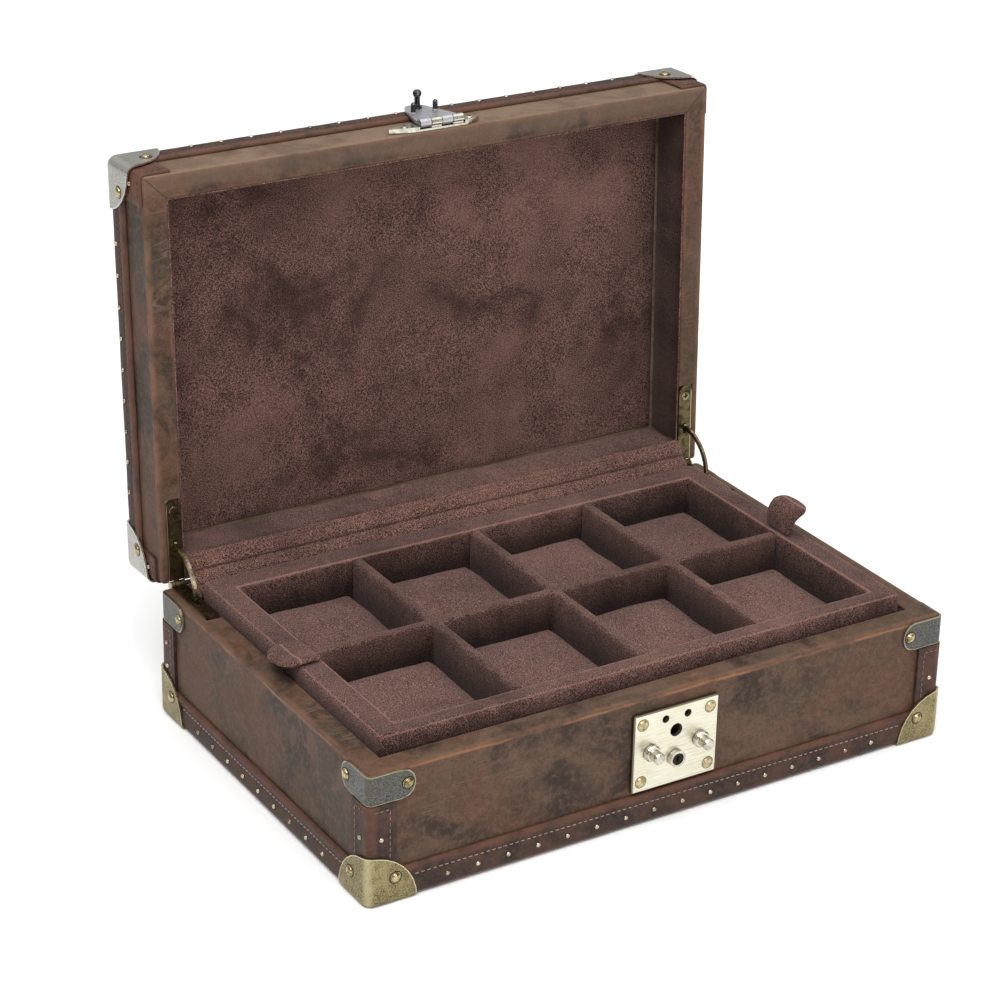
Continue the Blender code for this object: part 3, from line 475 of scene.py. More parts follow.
def satin_plate(name):
    """The lock plate: pale gold-nickel, brushed level, painted dark brown along its bevelled edge."""
    look = Look(name, metallic=1.0)
    brushed = look.noise(2400.0, 3.0, 0.7, 0.0, look.stretched((0.04, 1.0, 1.2)))
    tone = look.blend(brushed, 0.35, 0.65, (0.58, 0.55, 0.41), (0.78, 0.75, 0.62))
    tone = look.stain(tone, look.noise(60.0, 3.0, 0.5), 0.4, 0.7, 0.35, (0.78, 0.76, 0.66))
    x, y, z = look.axes()
    side = look.step(look.gap(x, LOCK_X * MM), 23.0 * MM, 23.3 * MM)
    end = look.step(look.gap(z, LOCK_Z * MM), 19.8 * MM, 20.1 * MM)
    look.colour(look.mix(look.times(look.most(side, end), 0.9), tone, (0.13, 0.10, 0.06)))
    look.rough(look.step(brushed, 0.3, 0.7, 0.30, 0.44))
    look.bump([(brushed, 0.003)])


def plain(name, dark, light, grain, low, high, depth, place=None, **settings):
    """A matt look: one grain between two colours, raised a little."""
    look = Look(name, **settings)
    marks = look.noise(*grain, place=look.stretched(place) if place else None)
    look.colour(look.mix(look.step(marks, low, high), dark, light))
    look.bump([(marks, depth)])


def make_looks():
    leather("base_leather", RIM_Z)
    leather("lid_leather", LID_RIM_Z, lid=True)
    strip_leather("base_strip")
    strip_leather("lid_strip", lid=True)
    suede("suede")
    suede("suede_tray", tint=1.05, painted_shade_depth=(58.0, 74.4, 0.24), border_highlights=True)
    suede("suede_lid", tint=1.14, lid=True, patches=0.72, wall_shade=(12.0, 16.0, 0.42))
    suede("suede_cushion", tint=1.28, patches=0.35, painted_shade_depth=(55.4, 59.2, 0.30))
    suede("suede_flap", tint=1.40, patches=0.45)
    suede("suede_pale", tint=1.7)
    cap_metal("brass_cap", (0.058, 0.047, 0.020), (0.345, 0.285, 0.145), (0.60, 0.54, 0.33), 0.0)
    cap_metal("pewter_cap", (0.230, 0.225, 0.206), (0.480, 0.470, 0.434), (0.72, 0.70, 0.63), LID_CAP_Z,
              lid=True, speckle=0.4)
    bracket_metal("bracket")
    hinge_metal("hinge")
    hasp_metal("hasp")
    satin_plate("plate")
    aged_metal("stay", (0.090, 0.070, 0.036), (0.300, 0.250, 0.150), 0.25)
    aged_metal("rivet", (0.130, 0.098, 0.040), (0.500, 0.410, 0.220), 0.17, marks_depth=0.003)
    aged_metal("tack", (0.260, 0.195, 0.120), (0.600, 0.510, 0.390), 0.24, marks_depth=0.003)
    aged_metal("plate_rivet", (0.300, 0.235, 0.110), (0.560, 0.470, 0.270), 0.30)
    aged_metal("nickel", (0.400, 0.375, 0.310), (0.600, 0.570, 0.480), 0.18, 0.1, marks_depth=0.001)
    # chrome is coloured near-black, a painted reflection of dark surroundings, so only the lamps' highlights
    # show bright on the hasp post.
    aged_metal("chrome", (0.030, 0.030, 0.032), (0.090, 0.090, 0.095), 0.07, marks_depth=0.001)
    aged_metal("steel", (0.080, 0.078, 0.070), (0.220, 0.215, 0.200), 0.45)
    for name, dark, light in (("thread", (0.180, 0.115, 0.088), (0.400, 0.290, 0.240)),
                              ("brown_thread", (0.100, 0.055, 0.038), (0.260, 0.160, 0.115)),
                              ("dark_thread", (0.035, 0.020, 0.016), (0.110, 0.065, 0.050))):
        plain(name, dark, light, (2600.0, 2.0, 0.5), 0.35, 0.65, 0.05, roughness=0.8, specular=0.3, sheen=0.2)
    plain("felt", (0.020, 0.016, 0.015), (0.060, 0.048, 0.045), (1400.0, 4.0, 0.8), 0.35, 0.65, 0.25,
          roughness=1.0, specular=0.1, sheen=0.3)
    plain("board", (0.230, 0.150, 0.090), (0.400, 0.285, 0.180), (160.0, 5.0, 0.65, 0.5), 0.35, 0.65, 0.1,
          (0.15, 1.0, 1.0), roughness=0.8, specular=0.2)
    # dark is a near-black look for painted shade and shadow: the rings round heads, the screw slots and the
    # key plug.
    for name, roughness, specular, grain, dark, light in (
            ("dark", 0.85, 0.2, (800.0, 3.0), (0.010, 0.008, 0.006), (0.028, 0.022, 0.018)),
            ("floor", 0.9, 0.1, (3.0, 2.0), (0.93, 0.93, 0.93), (0.95, 0.95, 0.95))):
        look = Look(name, roughness=roughness, specular=specular)
        look.colour(look.mix(look.noise(*grain), dark, light))


# ---------------------------------------------------------------- mesh helpers

def add_object(name, data):
    made = bpy.data.objects.new(name, data)
    bpy.context.scene.collection.objects.link(made)
    return made


def modified(piece):
    """The mesh that the piece's modifiers make."""
    bpy.context.view_layer.update()
    return bpy.data.meshes.new_from_object(piece.evaluated_get(bpy.context.evaluated_depsgraph_get()))


def apply_modifiers(piece):
    mesh = modified(piece)
    piece.modifiers.clear()
    piece.data = mesh
    return mesh


def remesh(piece, voxel):
    modifier = piece.modifiers.new("remesh", "REMESH")
    modifier.mode = "VOXEL"
    modifier.voxel_size = voxel * MM


def points_of(mesh):
    co = np.empty(len(mesh.vertices) * 3)
    mesh.vertices.foreach_get("co", co)
    return co.reshape(-1, 3)


def set_points(mesh, co):
    mesh.vertices.foreach_set("co", co.ravel())
    mesh.update()


def set_material(mesh, material):
    mesh.materials.clear()
    mesh.materials.append(MATERIALS[material])


def add_piece(name, shape, material, body, place=STILL, angle=35):
    """Make a piece from a bmesh in millimetres, laid out with the lid shut, and put it in place."""
    bmesh.ops.recalc_face_normals(shape, faces=shape.faces)
    shape.transform(Matrix.Diagonal((MM, MM, MM, 1.0)) @ place)
    mesh = bpy.data.meshes.new(name)
    shape.to_mesh(mesh)
    shape.free()
    mesh.shade_smooth()
    mesh.set_sharp_from_angle(angle=math.radians(angle))
    set_material(mesh, material)
    piece = add_object(name, mesh)
    if body:
        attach(piece, body)
    return piece


def skin(shape, rows, closed_rows=False, caps=False):
    """Join equal rings of points with quads."""
    made = [[shape.verts.new(p) for p in row] for row in rows]
    pairs = list(zip(made, made[1:]))
    if closed_rows:
        pairs.append((made[-1], made[0]))
    count = len(made[0])
    for low, high in pairs:
        for i in range(count):
            j = (i + 1) % count
            shape.faces.new((low[i], low[j], high[j], high[i]))
    if caps:
        shape.faces.new(list(reversed(made[0])))
        shape.faces.new(made[-1])
    return shape


def frame_of(normal):
    """Two directions that with normal make a right-handed set."""
    n = Vector(normal).normalized()
    side = n.cross(Vector((0, 0, 1)))
    if side.length < 0.1:
        side = n.cross(Vector((1, 0, 0)))
    side.normalize()
    return side, n.cross(side), n


def add_turned(shape, centre, normal, profile, steps=20):
    """Turn (radius, height) pairs about the normal through centre; radius 0 ends in a point."""
    side, up, n = frame_of(normal)
    centre = Vector(centre)
    rows = []
    for radius, height in profile:
        row = []
        for i in range(steps):
            a = 2 * math.pi * i / steps
            row.append(centre + n * height + (side * math.cos(a) + up * math.sin(a)) * max(radius, 0.02))
        rows.append(row)
    skin(shape, rows, caps=True)


def dome(radius, low, high, steps, sweep=90):
    """(radius, height) pairs from the shoulder of a dome up to its top."""
    angles = [math.radians(sweep * i / steps) for i in range(1, steps + 1)]
    tall = (high - low) / math.sin(math.radians(sweep))
    return [(radius * math.cos(a), low + tall * math.sin(a)) for a in angles]


def add_rivet(shape, centre, normal, radius, height):
    """A domed head standing on a thin flange."""
    flange = [(radius * 1.04, -0.3), (radius * 1.04, 0.12), (radius * 0.93, 0.2)]
    add_turned(shape, centre, normal, flange + dome(radius * 0.93, 0.2, height, 5), 24)


def add_shadow_ring(shape, centre, normal, radius):
    """A near-black ring round a head's foot, a painted shadow where the head meets the surface."""
    add_turned(shape, centre, normal, [(radius, -0.3), (radius, 0.04), (radius - 0.25, 0.1)], 20)


def add_tack(shape, centre, normal):
    edge = [(TACK_R, -0.2), (TACK_R, 0.15)]
    add_turned(shape, centre, normal, edge + dome(TACK_R, 0.15, 0.9, 4), 12)


def add_stitch(shape, start, end, normal, radius=0.26):
    """A thread that comes up, lies over and goes down again."""
    start, end, n = Vector(start), Vector(end), Vector(normal).normalized()
    side = (end - start).normalized().cross(n)
    rows = []
    for t, lift, size in ((0.0, -0.35, 0.8), (0.14, 0.12, 1.0), (0.5, 0.22, 1.05), (0.86, 0.12, 1.0),
                          (1.0, -0.35, 0.8)):
        centre = start.lerp(end, t) + n * lift
        rows.append([centre + (side * math.cos(a) + n * math.sin(a)) * radius * size
                     for a in (math.pi * k / 3 for k in range(6))])
    skin(shape, rows, caps=True)


def add_stitches(shape, start, end, normal, pitch=STITCH_PITCH):
    """A straight row of stitches, each two thirds of the pitch long."""
    start, end = Vector(start), Vector(end)
    length = (end - start).length
    count = max(1, round(length / pitch))
    for i in range(count):
        a = start.lerp(end, (i + 0.17) / count)
        b = start.lerp(end, (i + 0.83) / count)
        add_stitch(shape, a, b, normal)


def rounded_loop(hx, hy, r, z, steps=6):
    points = []
    for sx, sy, turn in ((1, 1, 0), (-1, 1, 90), (-1, -1, 180), (1, -1, 270)):
        for i in range(steps + 1):
            a = math.radians(turn + 90 * i / steps)
            points.append((sx * (hx - r) + r * math.cos(a), sy * (hy - r) + r * math.sin(a), z))
    return points


def corner_name(sx, sy):
    return ("front" if sy < 0 else "back") + ("_left" if sx < 0 else "_right")


def corner_faces(sx, sy, fx, fy):
    """A corner's end face and front or back face: the normal, and a point at a distance from the corner."""
    return (((sx, 0, 0), lambda s, z: (sx * fx, sy * (fy - s), z)),
            ((0, sy, 0), lambda s, z: (sx * (fx - s), sy * fy, z)))


# ---------------------------------------------------------------- CAD nodes that keep their shape

def dress(node, material, bevel=0.0):
    """Give a CAD node its full material, and a fine edge if it is metal."""
    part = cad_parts[node]
    if not part.data.materials:
        part.data.materials.append(None)
    for i in range(len(part.data.materials)):
        part.data.materials[i] = MATERIALS[material]
    part.data.shade_smooth()
    part.data.set_sharp_from_angle(angle=math.radians(32))
    if bevel:
        edge = part.modifiers.new("edge", "BEVEL")
        edge.width = bevel * MM
        edge.segments = 2
        edge.limit_method = "ANGLE"
        edge.angle_limit = math.radians(40)
        edge.harden_normals = False


def dress_nodes():
    for body in ("base", "lid"):
        for side in ("front", "back", "left", "right"):
            dress(f"{body}_{side}_wall", "board")
        dress(f"{body}_leather_cover", f"{body}_leather")
    dress("base_floor_panel", "board")
    dress("lid_top_panel", "board")
    dress("underside_pad", "felt")
    for sx, sy in CORNERS:
        corner = corner_name(sx, sy)
        dress(f"base_corner_strip_{corner}", "base_strip", 0.25)
        dress(f"base_corner_cap_{corner}", "brass_cap", 0.15)
        dress(f"lid_corner_cap_{corner}", "pewter_cap", 0.15)
        dress(f"base_rim_bracket_{corner}", "bracket", 0.15)
    # The key plug takes the near-black look, painted shade for the keyhole.
    metal = {"lock_plate": "plate", "lock_key_barrel": "nickel", "lock_key_plug": "dark",
             "lock_case": "steel", "hasp_bracket": "nickel", "hasp_leaf": "hasp", "hasp_post": "chrome"}
    for side, _ in SIDES:
        metal.update({f"hinge_base_leaf_{side}": "hinge", f"hinge_lid_leaf_{side}": "hinge",
                      f"hinge_stay_{side}": "stay", f"lock_knob_{side}": "nickel"})
    for node, material in metal.items():
        dress(node, material, 0.12)


# ---------------------------------------------------------------- tacks and stitches

def spread(half, pitch):
    """Places along a side, evenly about its middle, no further out than half."""
    count = int(2 * half // pitch) + 1
    return [(i - (count - 1) / 2) * pitch for i in range(count)]


def binding_sides():
    """(point on the side's middle, direction along it, outward normal, half length) for each side."""
    fx = HALF_X + BINDING_FACE
    fy = HALF_Y + BINDING_FACE
    return (((0, -fy), (1, 0), (0, -1), HALF_X), ((0, fy), (1, 0), (0, 1), HALF_X),
            ((-fx, 0), (0, 1), (-1, 0), HALF_Y), ((fx, 0), (0, 1), (1, 0), HALF_Y))


def make_binding_trim(prefix, tack_z, stitch_z, place, thread_look):
    tacks = bmesh.new()
    # Near-black rings round the tacks: painted shadows.
    shadow_rings = bmesh.new()
    stitches = bmesh.new()
    for (mx, my), (ax, ay), (nx, ny), half in binding_sides():
        normal = Vector((nx, ny, 0))
        for s in spread(half - 34.0, TACK_PITCH):
            centre = Vector((mx + ax * s, my + ay * s, tack_z)) + normal * 0.12
            add_tack(tacks, centre, normal)
            add_shadow_ring(shadow_rings, centre, normal, TACK_SHADOW_R)
        start, end = (Vector((mx + ax * s, my + ay * s, stitch_z)) - normal * 0.22
                      for s in (22.0 - half, half - 22.0))
        add_stitches(stitches, start, end, normal)
    add_piece(f"{prefix}_binding_tacks", tacks, "tack", prefix, place)
    add_piece(f"{prefix}_tack_shadow_rings", shadow_rings, "dark", prefix, place)
    add_piece(f"{prefix}_binding_stitches", stitches, thread_look, prefix, place)


def case_path(offset, z, cell=6.5, bend=1.8, steps=5):
    """Points round the case at an offset from its sides, close enough together to waver."""
    r = max(bend + offset, 0.4)
    hx = HALF_X + offset - r
    hy = HALF_Y + offset - r
    corners = ((1, 1), (-1, 1), (-1, -1), (1, -1))
    points = []
    for k, (sx, sy) in enumerate(corners):
        for i in range(steps + 1):
            a = math.radians(90 * k + 90 * i / steps)
            points.append(Vector((sx * hx + r * math.cos(a), sy * hy + r * math.sin(a), z)))
        nx, ny = corners[(k + 1) % 4]
        a = math.radians(90 * (k + 1))
        end = Vector((nx * hx + r * math.cos(a), ny * hy + r * math.sin(a), z))
        start = points[-1]
        count = round(2 * (HALF_X if sy == ny else HALF_Y) / cell)
        points += [start.lerp(end, i / count) for i in range(1, count)]
    return points


def make_binding(prefix, section, place):
    """The leather binding round the case: a rolled lip, a stitched groove and a flat band for the tacks."""
    shape = bmesh.new()
    skin(shape, [case_path(offset, z) for offset, z in section], closed_rows=True)
    piece = add_piece(f"{prefix}_binding", shape, f"{prefix}_strip", prefix, place, angle=70)
    ruffle(piece.data, 0.16 * MM, 70.0, 3.0 if prefix == "lid" else 4.0)
    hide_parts(f"{prefix}_edge_binding")


def make_bindings():
    make_binding("base", [(-12.0, 1.1), (0.4, 1.1), (1.5, 1.6), (2.05, 2.8), (2.2, 4.5), (2.2, 8.5),
                          (2.05, 10.3), (1.75, 11.2), (1.7, 11.6), (1.8, 12.0), (2.1, 12.9),
                          (2.25, 14.4), (2.1, 15.8), (1.6, 16.7), (0.8, 17.0), (0.3, 16.9), (0.3, 2.3),
                          (-12.0, 2.3)], STILL)
    make_binding("lid", [(-15.0, 100.5), (-15.0, 101.5), (-14.4, 101.9), (-0.8, 101.9), (0.8, 101.6),
                         (1.7, 100.8), (2.1, 99.6), (2.2, 98.0), (2.1, 95.5), (1.8, 94.4), (1.7, 94.0),
                         (1.8, 93.6), (2.1, 92.8), (2.25, 91.3), (2.1, 89.7), (1.6, 88.6), (0.8, 88.3),
                         (0.3, 88.4), (0.3, 100.5)], OPEN)


def make_strip_trim():
    """Stitches and tacks on the four upright corner strips of the base."""
    tacks = bmesh.new()
    stitches = bmesh.new()
    low, high, inset = 20.0, 48.6, 11.4
    for sx, sy in CORNERS:
        for normal, at in corner_faces(sx, sy, HALF_X + STRIP_FACE, HALF_Y + STRIP_FACE):
            add_stitches(stitches, at(inset, low), at(inset, high), normal)
            add_stitches(stitches, at(3.0, high), at(inset, high), normal)
            for z in (34.0,) if sy < 0 else (28.0, 41.0):
                add_tack(tacks, at(7.0, z), normal)
    add_piece("base_strip_tacks", tacks, "tack", "base")
    add_piece("base_strip_stitches", stitches, "brown_thread", "base")


# ---------------------------------------------------------------- rivets and screws

def make_rivets():
    on_base = ((CAP_X, CAP_Y, 15.0, 13.6), (HALF_X + 1.3, HALF_Y + 1.3, 20.3, 59.2))
    on_lid = ((CAP_X, CAP_Y, 15.0, 89.4),)
    for body, place, spots in (("base", STILL, on_base), ("lid", OPEN, on_lid)):
        rivets = bmesh.new()
        # Near-black rings round the rivets: painted shadows.
        shadow_rings = bmesh.new()
        for sx, sy in CORNERS:
            for face_x, face_y, back, z in spots:
                for normal, at in corner_faces(sx, sy, face_x, face_y):
                    add_rivet(rivets, at(back, z), normal, RIVET_R, 1.5)
                    add_shadow_ring(shadow_rings, at(back, z), normal, RIVET_SHADOW_R)
        add_piece(f"{body}_rivets", rivets, "rivet", body, place)
        add_piece(f"{body}_rivet_shadow_rings", shadow_rings, "dark", body, place)
    rivets = bmesh.new()
    # Near-black rings round the lock plate's rivets: painted shadows.
    shadow_rings = bmesh.new()
    for side in (-18.96, 18.96):
        for z in (54.4, 24.2):
            centre = (LOCK_X + side, PLATE_FACE_Y, z)
            add_rivet(rivets, centre, (0, -1, 0), 2.8, 1.1)
            add_shadow_ring(shadow_rings, centre, (0, -1, 0), 3.2)
    add_piece("lock_plate_rivet_shadow_rings", shadow_rings, "dark", "base")
    add_piece("lock_plate_rivets", rivets, "plate_rivet", "base")


def screw_mesh(radius, height):
    """A domed screw head, pointing along +Z from the origin."""
    shape = bmesh.new()
    shoulder = 0.4 * height
    profile = [(radius, -0.3), (radius, shoulder)] + dome(radius, shoulder, height, 5, 78)
    add_turned(shape, (0, 0, 0), (0, 0, 1), profile, 24)
    return shape


def add_screw(name, centre, normal, radius, height, body, place, material):
    side, up, n = frame_of(normal)
    turn = Matrix((side, up, n)).transposed().to_4x4()
    at = place @ Matrix.Translation(Vector(centre)) @ turn
    add_piece(name, screw_mesh(radius, height), material, body, at)
    # A near-black cross on top of the head stands for the slot: painted shade, standing just proud of the
    # dome rather than cut into it.
    cross = bmesh.new()
    long, wide = radius * 0.62, radius * 0.15
    top = height + 0.03
    for hx, hy in ((long, wide), (wide, long)):
        rows = [[(-hx, -hy, z), (hx, -hy, z), (hx, hy, z), (-hx, hy, z)] for z in (top - 0.25, top)]
        skin(cross, rows, caps=True)
    add_piece(name + "_slot_shadow", cross, "dark", body, at)


def make_screws():
    for side, sx in SIDES:
        leaf_x = sx * 152.2
        wing_x = LOCK_X + (-19.6 if sx < 0 else 17.4)
        for name, centre, normal, radius, height, body, place, material in (
                ("base_leaf", (leaf_x, 68.7, RIM_Z), (0, 0, 1), 2.4, 0.24, "base", STILL, "stay"),
                ("lid_leaf", (leaf_x, 66.0, LID_RIM_Z), (0, 0, -1), 2.4, 0.24, "lid", OPEN, "stay"),
                ("hasp", (wing_x, -106.7, 73.0), (0, -1, 0), 1.8, 0.6, "lid", OPEN, "nickel")):
            add_screw(f"{name}_screw_{side}", centre, normal, radius, height, body, place, material)


# ---------------------------------------------------------------- lid corner patches

def make_corner_patches():
    """Leather folded round the lid's corners between the binding and the rim."""
    high = 88.0
    inner, outer, bend, thinner = 0.25, 1.45, 1.8, 0.35
    cx, cy = HALF_X - bend, HALF_Y - bend
    turns = [math.radians(90 * i / 6) for i in range(7)]
    for sx, sy in CORNERS:
        name = corner_name(sx, sy)
        leg, low = (15.0, 69.6) if sy < 0 else (12.5, 73.4)
        sections = [(cx, cy - leg + bend, 1.0, 0.0, thinner), (cx, cy - leg + 0.4 + bend, 1.0, 0.0, 0.0)]
        sections += [(cx, cy, math.cos(a), math.sin(a), 0.0) for a in turns]
        sections += [(cx - leg + 0.4 + bend, cy, 0.0, 1.0, 0.0), (cx - leg + bend, cy, 0.0, 1.0, thinner)]
        rows = []
        for x, y, nx, ny, thin in sections:
            face = bend + outer - thin
            back = bend + inner
            outline = ((back, low), (face - 0.4, low), (face, low + 0.4), (face, high), (back, high))
            rows.append([(sx * (x + nx * r), sy * (y + ny * r), z) for r, z in outline])
        shape = bmesh.new()
        skin(shape, rows, caps=True)
        add_piece(f"lid_corner_patch_{name}", shape, "lid_strip", "lid", OPEN)
        stitches = bmesh.new()
        tack = bmesh.new()
        faces = corner_faces(sx, sy, HALF_X + outer, HALF_Y + outer)
        for normal, at in faces:
            add_stitches(stitches, at(leg - 2.2, low + 2.0), at(leg - 2.2, high - 2.0), normal)
            add_stitches(stitches, at(3.0, low + 2.2), at(leg - 2.2, low + 2.2), normal)
        end_normal, end_at = faces[0]
        add_tack(tack, end_at(7.0, 80.5), end_normal)
        add_piece(f"lid_patch_stitches_{name}", stitches, "dark_thread", "lid", OPEN)
        add_piece(f"lid_patch_tack_{name}", tack, "tack", "lid", OPEN)


# ---------------------------------------------------------------- suede pieces

def ruffle(mesh, amount, scale, seed):
    """Move each point a little along its normal by smooth noise, in metres."""
    co = points_of(mesh)
    normals = np.array([v.normal for v in mesh.vertices])
    offset = Vector((seed * 7.3, seed * 3.1, seed * 5.7))
    lift = np.array([noise.noise(Vector(p) * scale + offset) for p in co])
    set_points(mesh, co + normals * (lift * amount)[:, None])


def soften(name, node, voxel, seed):
    """A suede solid of the tray remade with soft, slightly uneven edges."""
    piece = add_object(name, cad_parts[node].data.copy())
    remesh(piece, voxel)
    relax = piece.modifiers.new("relax", "SMOOTH")
    relax.iterations = 1
    relax.factor = 0.5
    mesh = apply_modifiers(piece)
    mesh.name = name
    ruffle(mesh, 0.18 * MM, 300.0, seed)
    mesh.shade_smooth()
    set_material(mesh, "suede_tray")
    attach(piece, "tray")
    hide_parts(node)


def spaced(length, cell):
    """Places along a panel's side, close together at its rounded ends."""
    ends = (0.0, 0.15, 0.5, 1.2)
    count = max(2, round((length - 2.4) / cell))
    middle = [1.2 + (length - 2.4) * i / count for i in range(1, count)]
    return list(ends) + middle + [length - s for s in reversed(ends)]


def add_slab(shape, corner, across, along, width, length, thick, seed, cell=6.0, wave=0.35):
    """A padded panel: flat behind, its front rounded at the edges and a little uneven."""
    corner, across, along = Vector(corner), Vector(across), Vector(along)
    out = across.cross(along)
    rings = []
    for s in spaced(width, cell):
        front, back = [], []
        for t in spaced(length, cell):
            spot = corner + across * s + along * t
            near = min(s, width - s, t, length - t)
            rise = thick * math.sqrt(max(0.0, 1 - (1 - min(near / 1.2, 1.0)) ** 2))
            swell = wave * min(near / 8.0, 1.0) * noise.noise(spot * 0.03 + Vector((seed, 0, 0)))
            front.append(spot + out * max(rise + swell, 0.05))
            back.append(spot)
        rings.append(front + list(reversed(back)))
    skin(shape, rings, caps=True)


def add_wall_ring(shape, x, y, z_low, z_high, seed):
    """Four upright panels facing inwards; x and y are where their backs stand."""
    thick = 2.0
    in_x, in_y = x - thick - 0.2, y - thick - 0.2
    panels = (((-x, -in_y), (0, 1, 0), in_y), ((x, in_y), (0, -1, 0), in_y),
              ((in_x, -y), (-1, 0, 0), in_x), ((-in_x, y), (1, 0, 0), in_x))
    for k, (corner, along, half) in enumerate(panels):
        add_slab(shape, (*corner, z_low), along, (0, 0, 1), 2 * half, z_high - z_low, thick, seed + k)


def add_floor_panel(shape, half_x, half_y, z, facing, thick, seed):
    """A level panel over a floor or a top; facing is -1 when it looks down."""
    x, y = half_x - PANEL_GAP, half_y - PANEL_GAP
    add_slab(shape, (-x, -facing * y, z), (1, 0, 0), (0, facing, 0), 2 * x, 2 * y, thick, seed)


def make_liners():
    """Suede panels over the inside of the lid and of the base."""
    out_x = HALF_X - 10.1
    out_y = HALF_Y - 10.1
    lid = bmesh.new()
    add_floor_panel(lid, out_x, out_y, 95.9, -1, 1.3, 11)
    add_wall_ring(lid, out_x, out_y, 69.7, 94.4, 21)
    liner = add_piece("lid_liner", lid, "suede_lid", "lid", OPEN, angle=60)
    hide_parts("lid_lining")

    base = bmesh.new()
    step = 3.6
    low_x, low_y = out_x - step, out_y - step
    ledge = step + 2.0
    add_floor_panel(base, low_x, low_y, 8.7, 1, 1.4, 31)
    add_wall_ring(base, low_x, low_y, 9.0, 41.4, 41)
    add_wall_ring(base, out_x, out_y, 43.1, 65.9, 51)
    for sign in (-1, 1):
        edge = out_y if sign > 0 else -low_y + 2.0
        side = out_x if sign > 0 else -low_x + 2.0
        for corner, width, length, seed in (((-out_x, edge - ledge), 2 * out_x, ledge, 61),
                                            ((side - ledge, -low_y + 2.1), ledge, 2 * low_y - 4.2, 71)):
            add_slab(base, (*corner, 41.6), (1, 0, 0), (0, 1, 0), width, length, 1.3, seed + sign)
    liner = add_piece("base_liner", base, "suede", "base", angle=60)
    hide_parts("base_lining")


def cushion_form(hx, hy, low, high):
    """A closed pad, rounded at its edges."""
    shape = bmesh.new()
    r = 2.6
    rows = []
    for centre, start in ((low + r, -90), (high - r, 0)):
        for i in range(6):
            a = math.radians(start + 18 * i)
            inset = r * (1 - math.cos(a))
            rows.append(rounded_loop(hx - inset, hy - inset, max(3.4 - inset, 0.9), centre + r * math.sin(a)))
    skin(shape, rows, caps=True)
    return shape


def inflate(piece, cap, pressure, voxel):
    """Swell a pad with cloth under pressure, and hold every point within cap of where it began."""
    remesh(piece, voxel)
    start = apply_modifiers(piece)
    before = points_of(start)
    cloth = piece.modifiers.new("cloth", "CLOTH")
    cloth.settings.use_pressure = True
    cloth.settings.uniform_pressure_force = pressure
    cloth.settings.effector_weights.gravity = 0.0
    cloth.point_cache.frame_start = 1
    cloth.point_cache.frame_end = CLOTH_STEPS
    scene = bpy.context.scene
    for step in range(1, CLOTH_STEPS + 1):
        scene.frame_set(step)
    move = points_of(modified(piece)) - before
    scene.frame_set(1)
    piece.modifiers.clear()
    far = np.linalg.norm(move, axis=1, keepdims=True)
    set_points(start, before + move * np.minimum(1.0, cap * MM / np.maximum(far, 1e-9)))
    fine = piece.modifiers.new("fine", "SUBSURF")
    fine.levels = 1
    fine.render_levels = 1
    return apply_modifiers(piece)


def make_cushions():
    """One pad is swollen by simulation and laid, turned and slightly varied, in each compartment."""
    low, high = (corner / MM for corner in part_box("watch_cushion_1"))
    half = (high - low) / 2
    shape = cushion_form(half.x - 0.7, half.y - 0.7, low.z + 0.3, high.z - 1.1)
    pad = add_piece("cushion_pattern", shape, "suede", None)
    form = inflate(pad, 1.6, pressure=4.0, voxel=3.4)
    bpy.data.objects.remove(pad)
    for number in range(1, 9):
        node_low, node_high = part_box(f"watch_cushion_{number}")
        centre = (node_low + node_high) / 2
        mesh = form.copy()
        flip = Matrix.Diagonal((-1 if number % 2 else 1, -1 if number % 3 else 1, 1, 1))
        mesh.transform(Matrix.Translation((centre.x, centre.y, 0.0)) @ flip)
        if flip.determinant() < 0:
            mesh.flip_normals()
        mesh.update()
        ruffle(mesh, 0.8 * MM, 48.0, number * 1.7)
        lowest = np.array(node_low) + 0.0001
        highest = np.array(node_high) + np.array((0.0003, 0.0003, 0.0009))
        set_points(mesh, np.clip(points_of(mesh), lowest, highest))
        mesh.shade_smooth()
        set_material(mesh, "suede_cushion")
        cushion = add_object(f"cushion_{number}", mesh)
        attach(cushion, f"cushion_{number}")
        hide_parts(f"watch_cushion_{number}")


def ribbon(rows_of, u_count, v_count, thickness):
    """A strap with rounded edges from a function of (u, v) giving a point and a normal."""
    shape = bmesh.new()
    rings = []
    for i in range(u_count + 1):
        u = i / u_count
        top, bottom = [], []
        for j in range(v_count + 1):
            v = j / v_count
            point, normal = rows_of(u, v)
            edge = min(1.0, math.sin(math.pi * v) * 4.0) * 0.5 * thickness
            edge *= min(1.0, math.sin(math.pi * min(u + 0.12, 1.0)) * 5.0 + 0.25)
            top.append(point + normal * max(edge, 0.12))
            bottom.append(point - normal * max(edge, 0.12))
        rings.append(top + list(reversed(bottom)))
    skin(shape, rings, caps=True)
    return shape


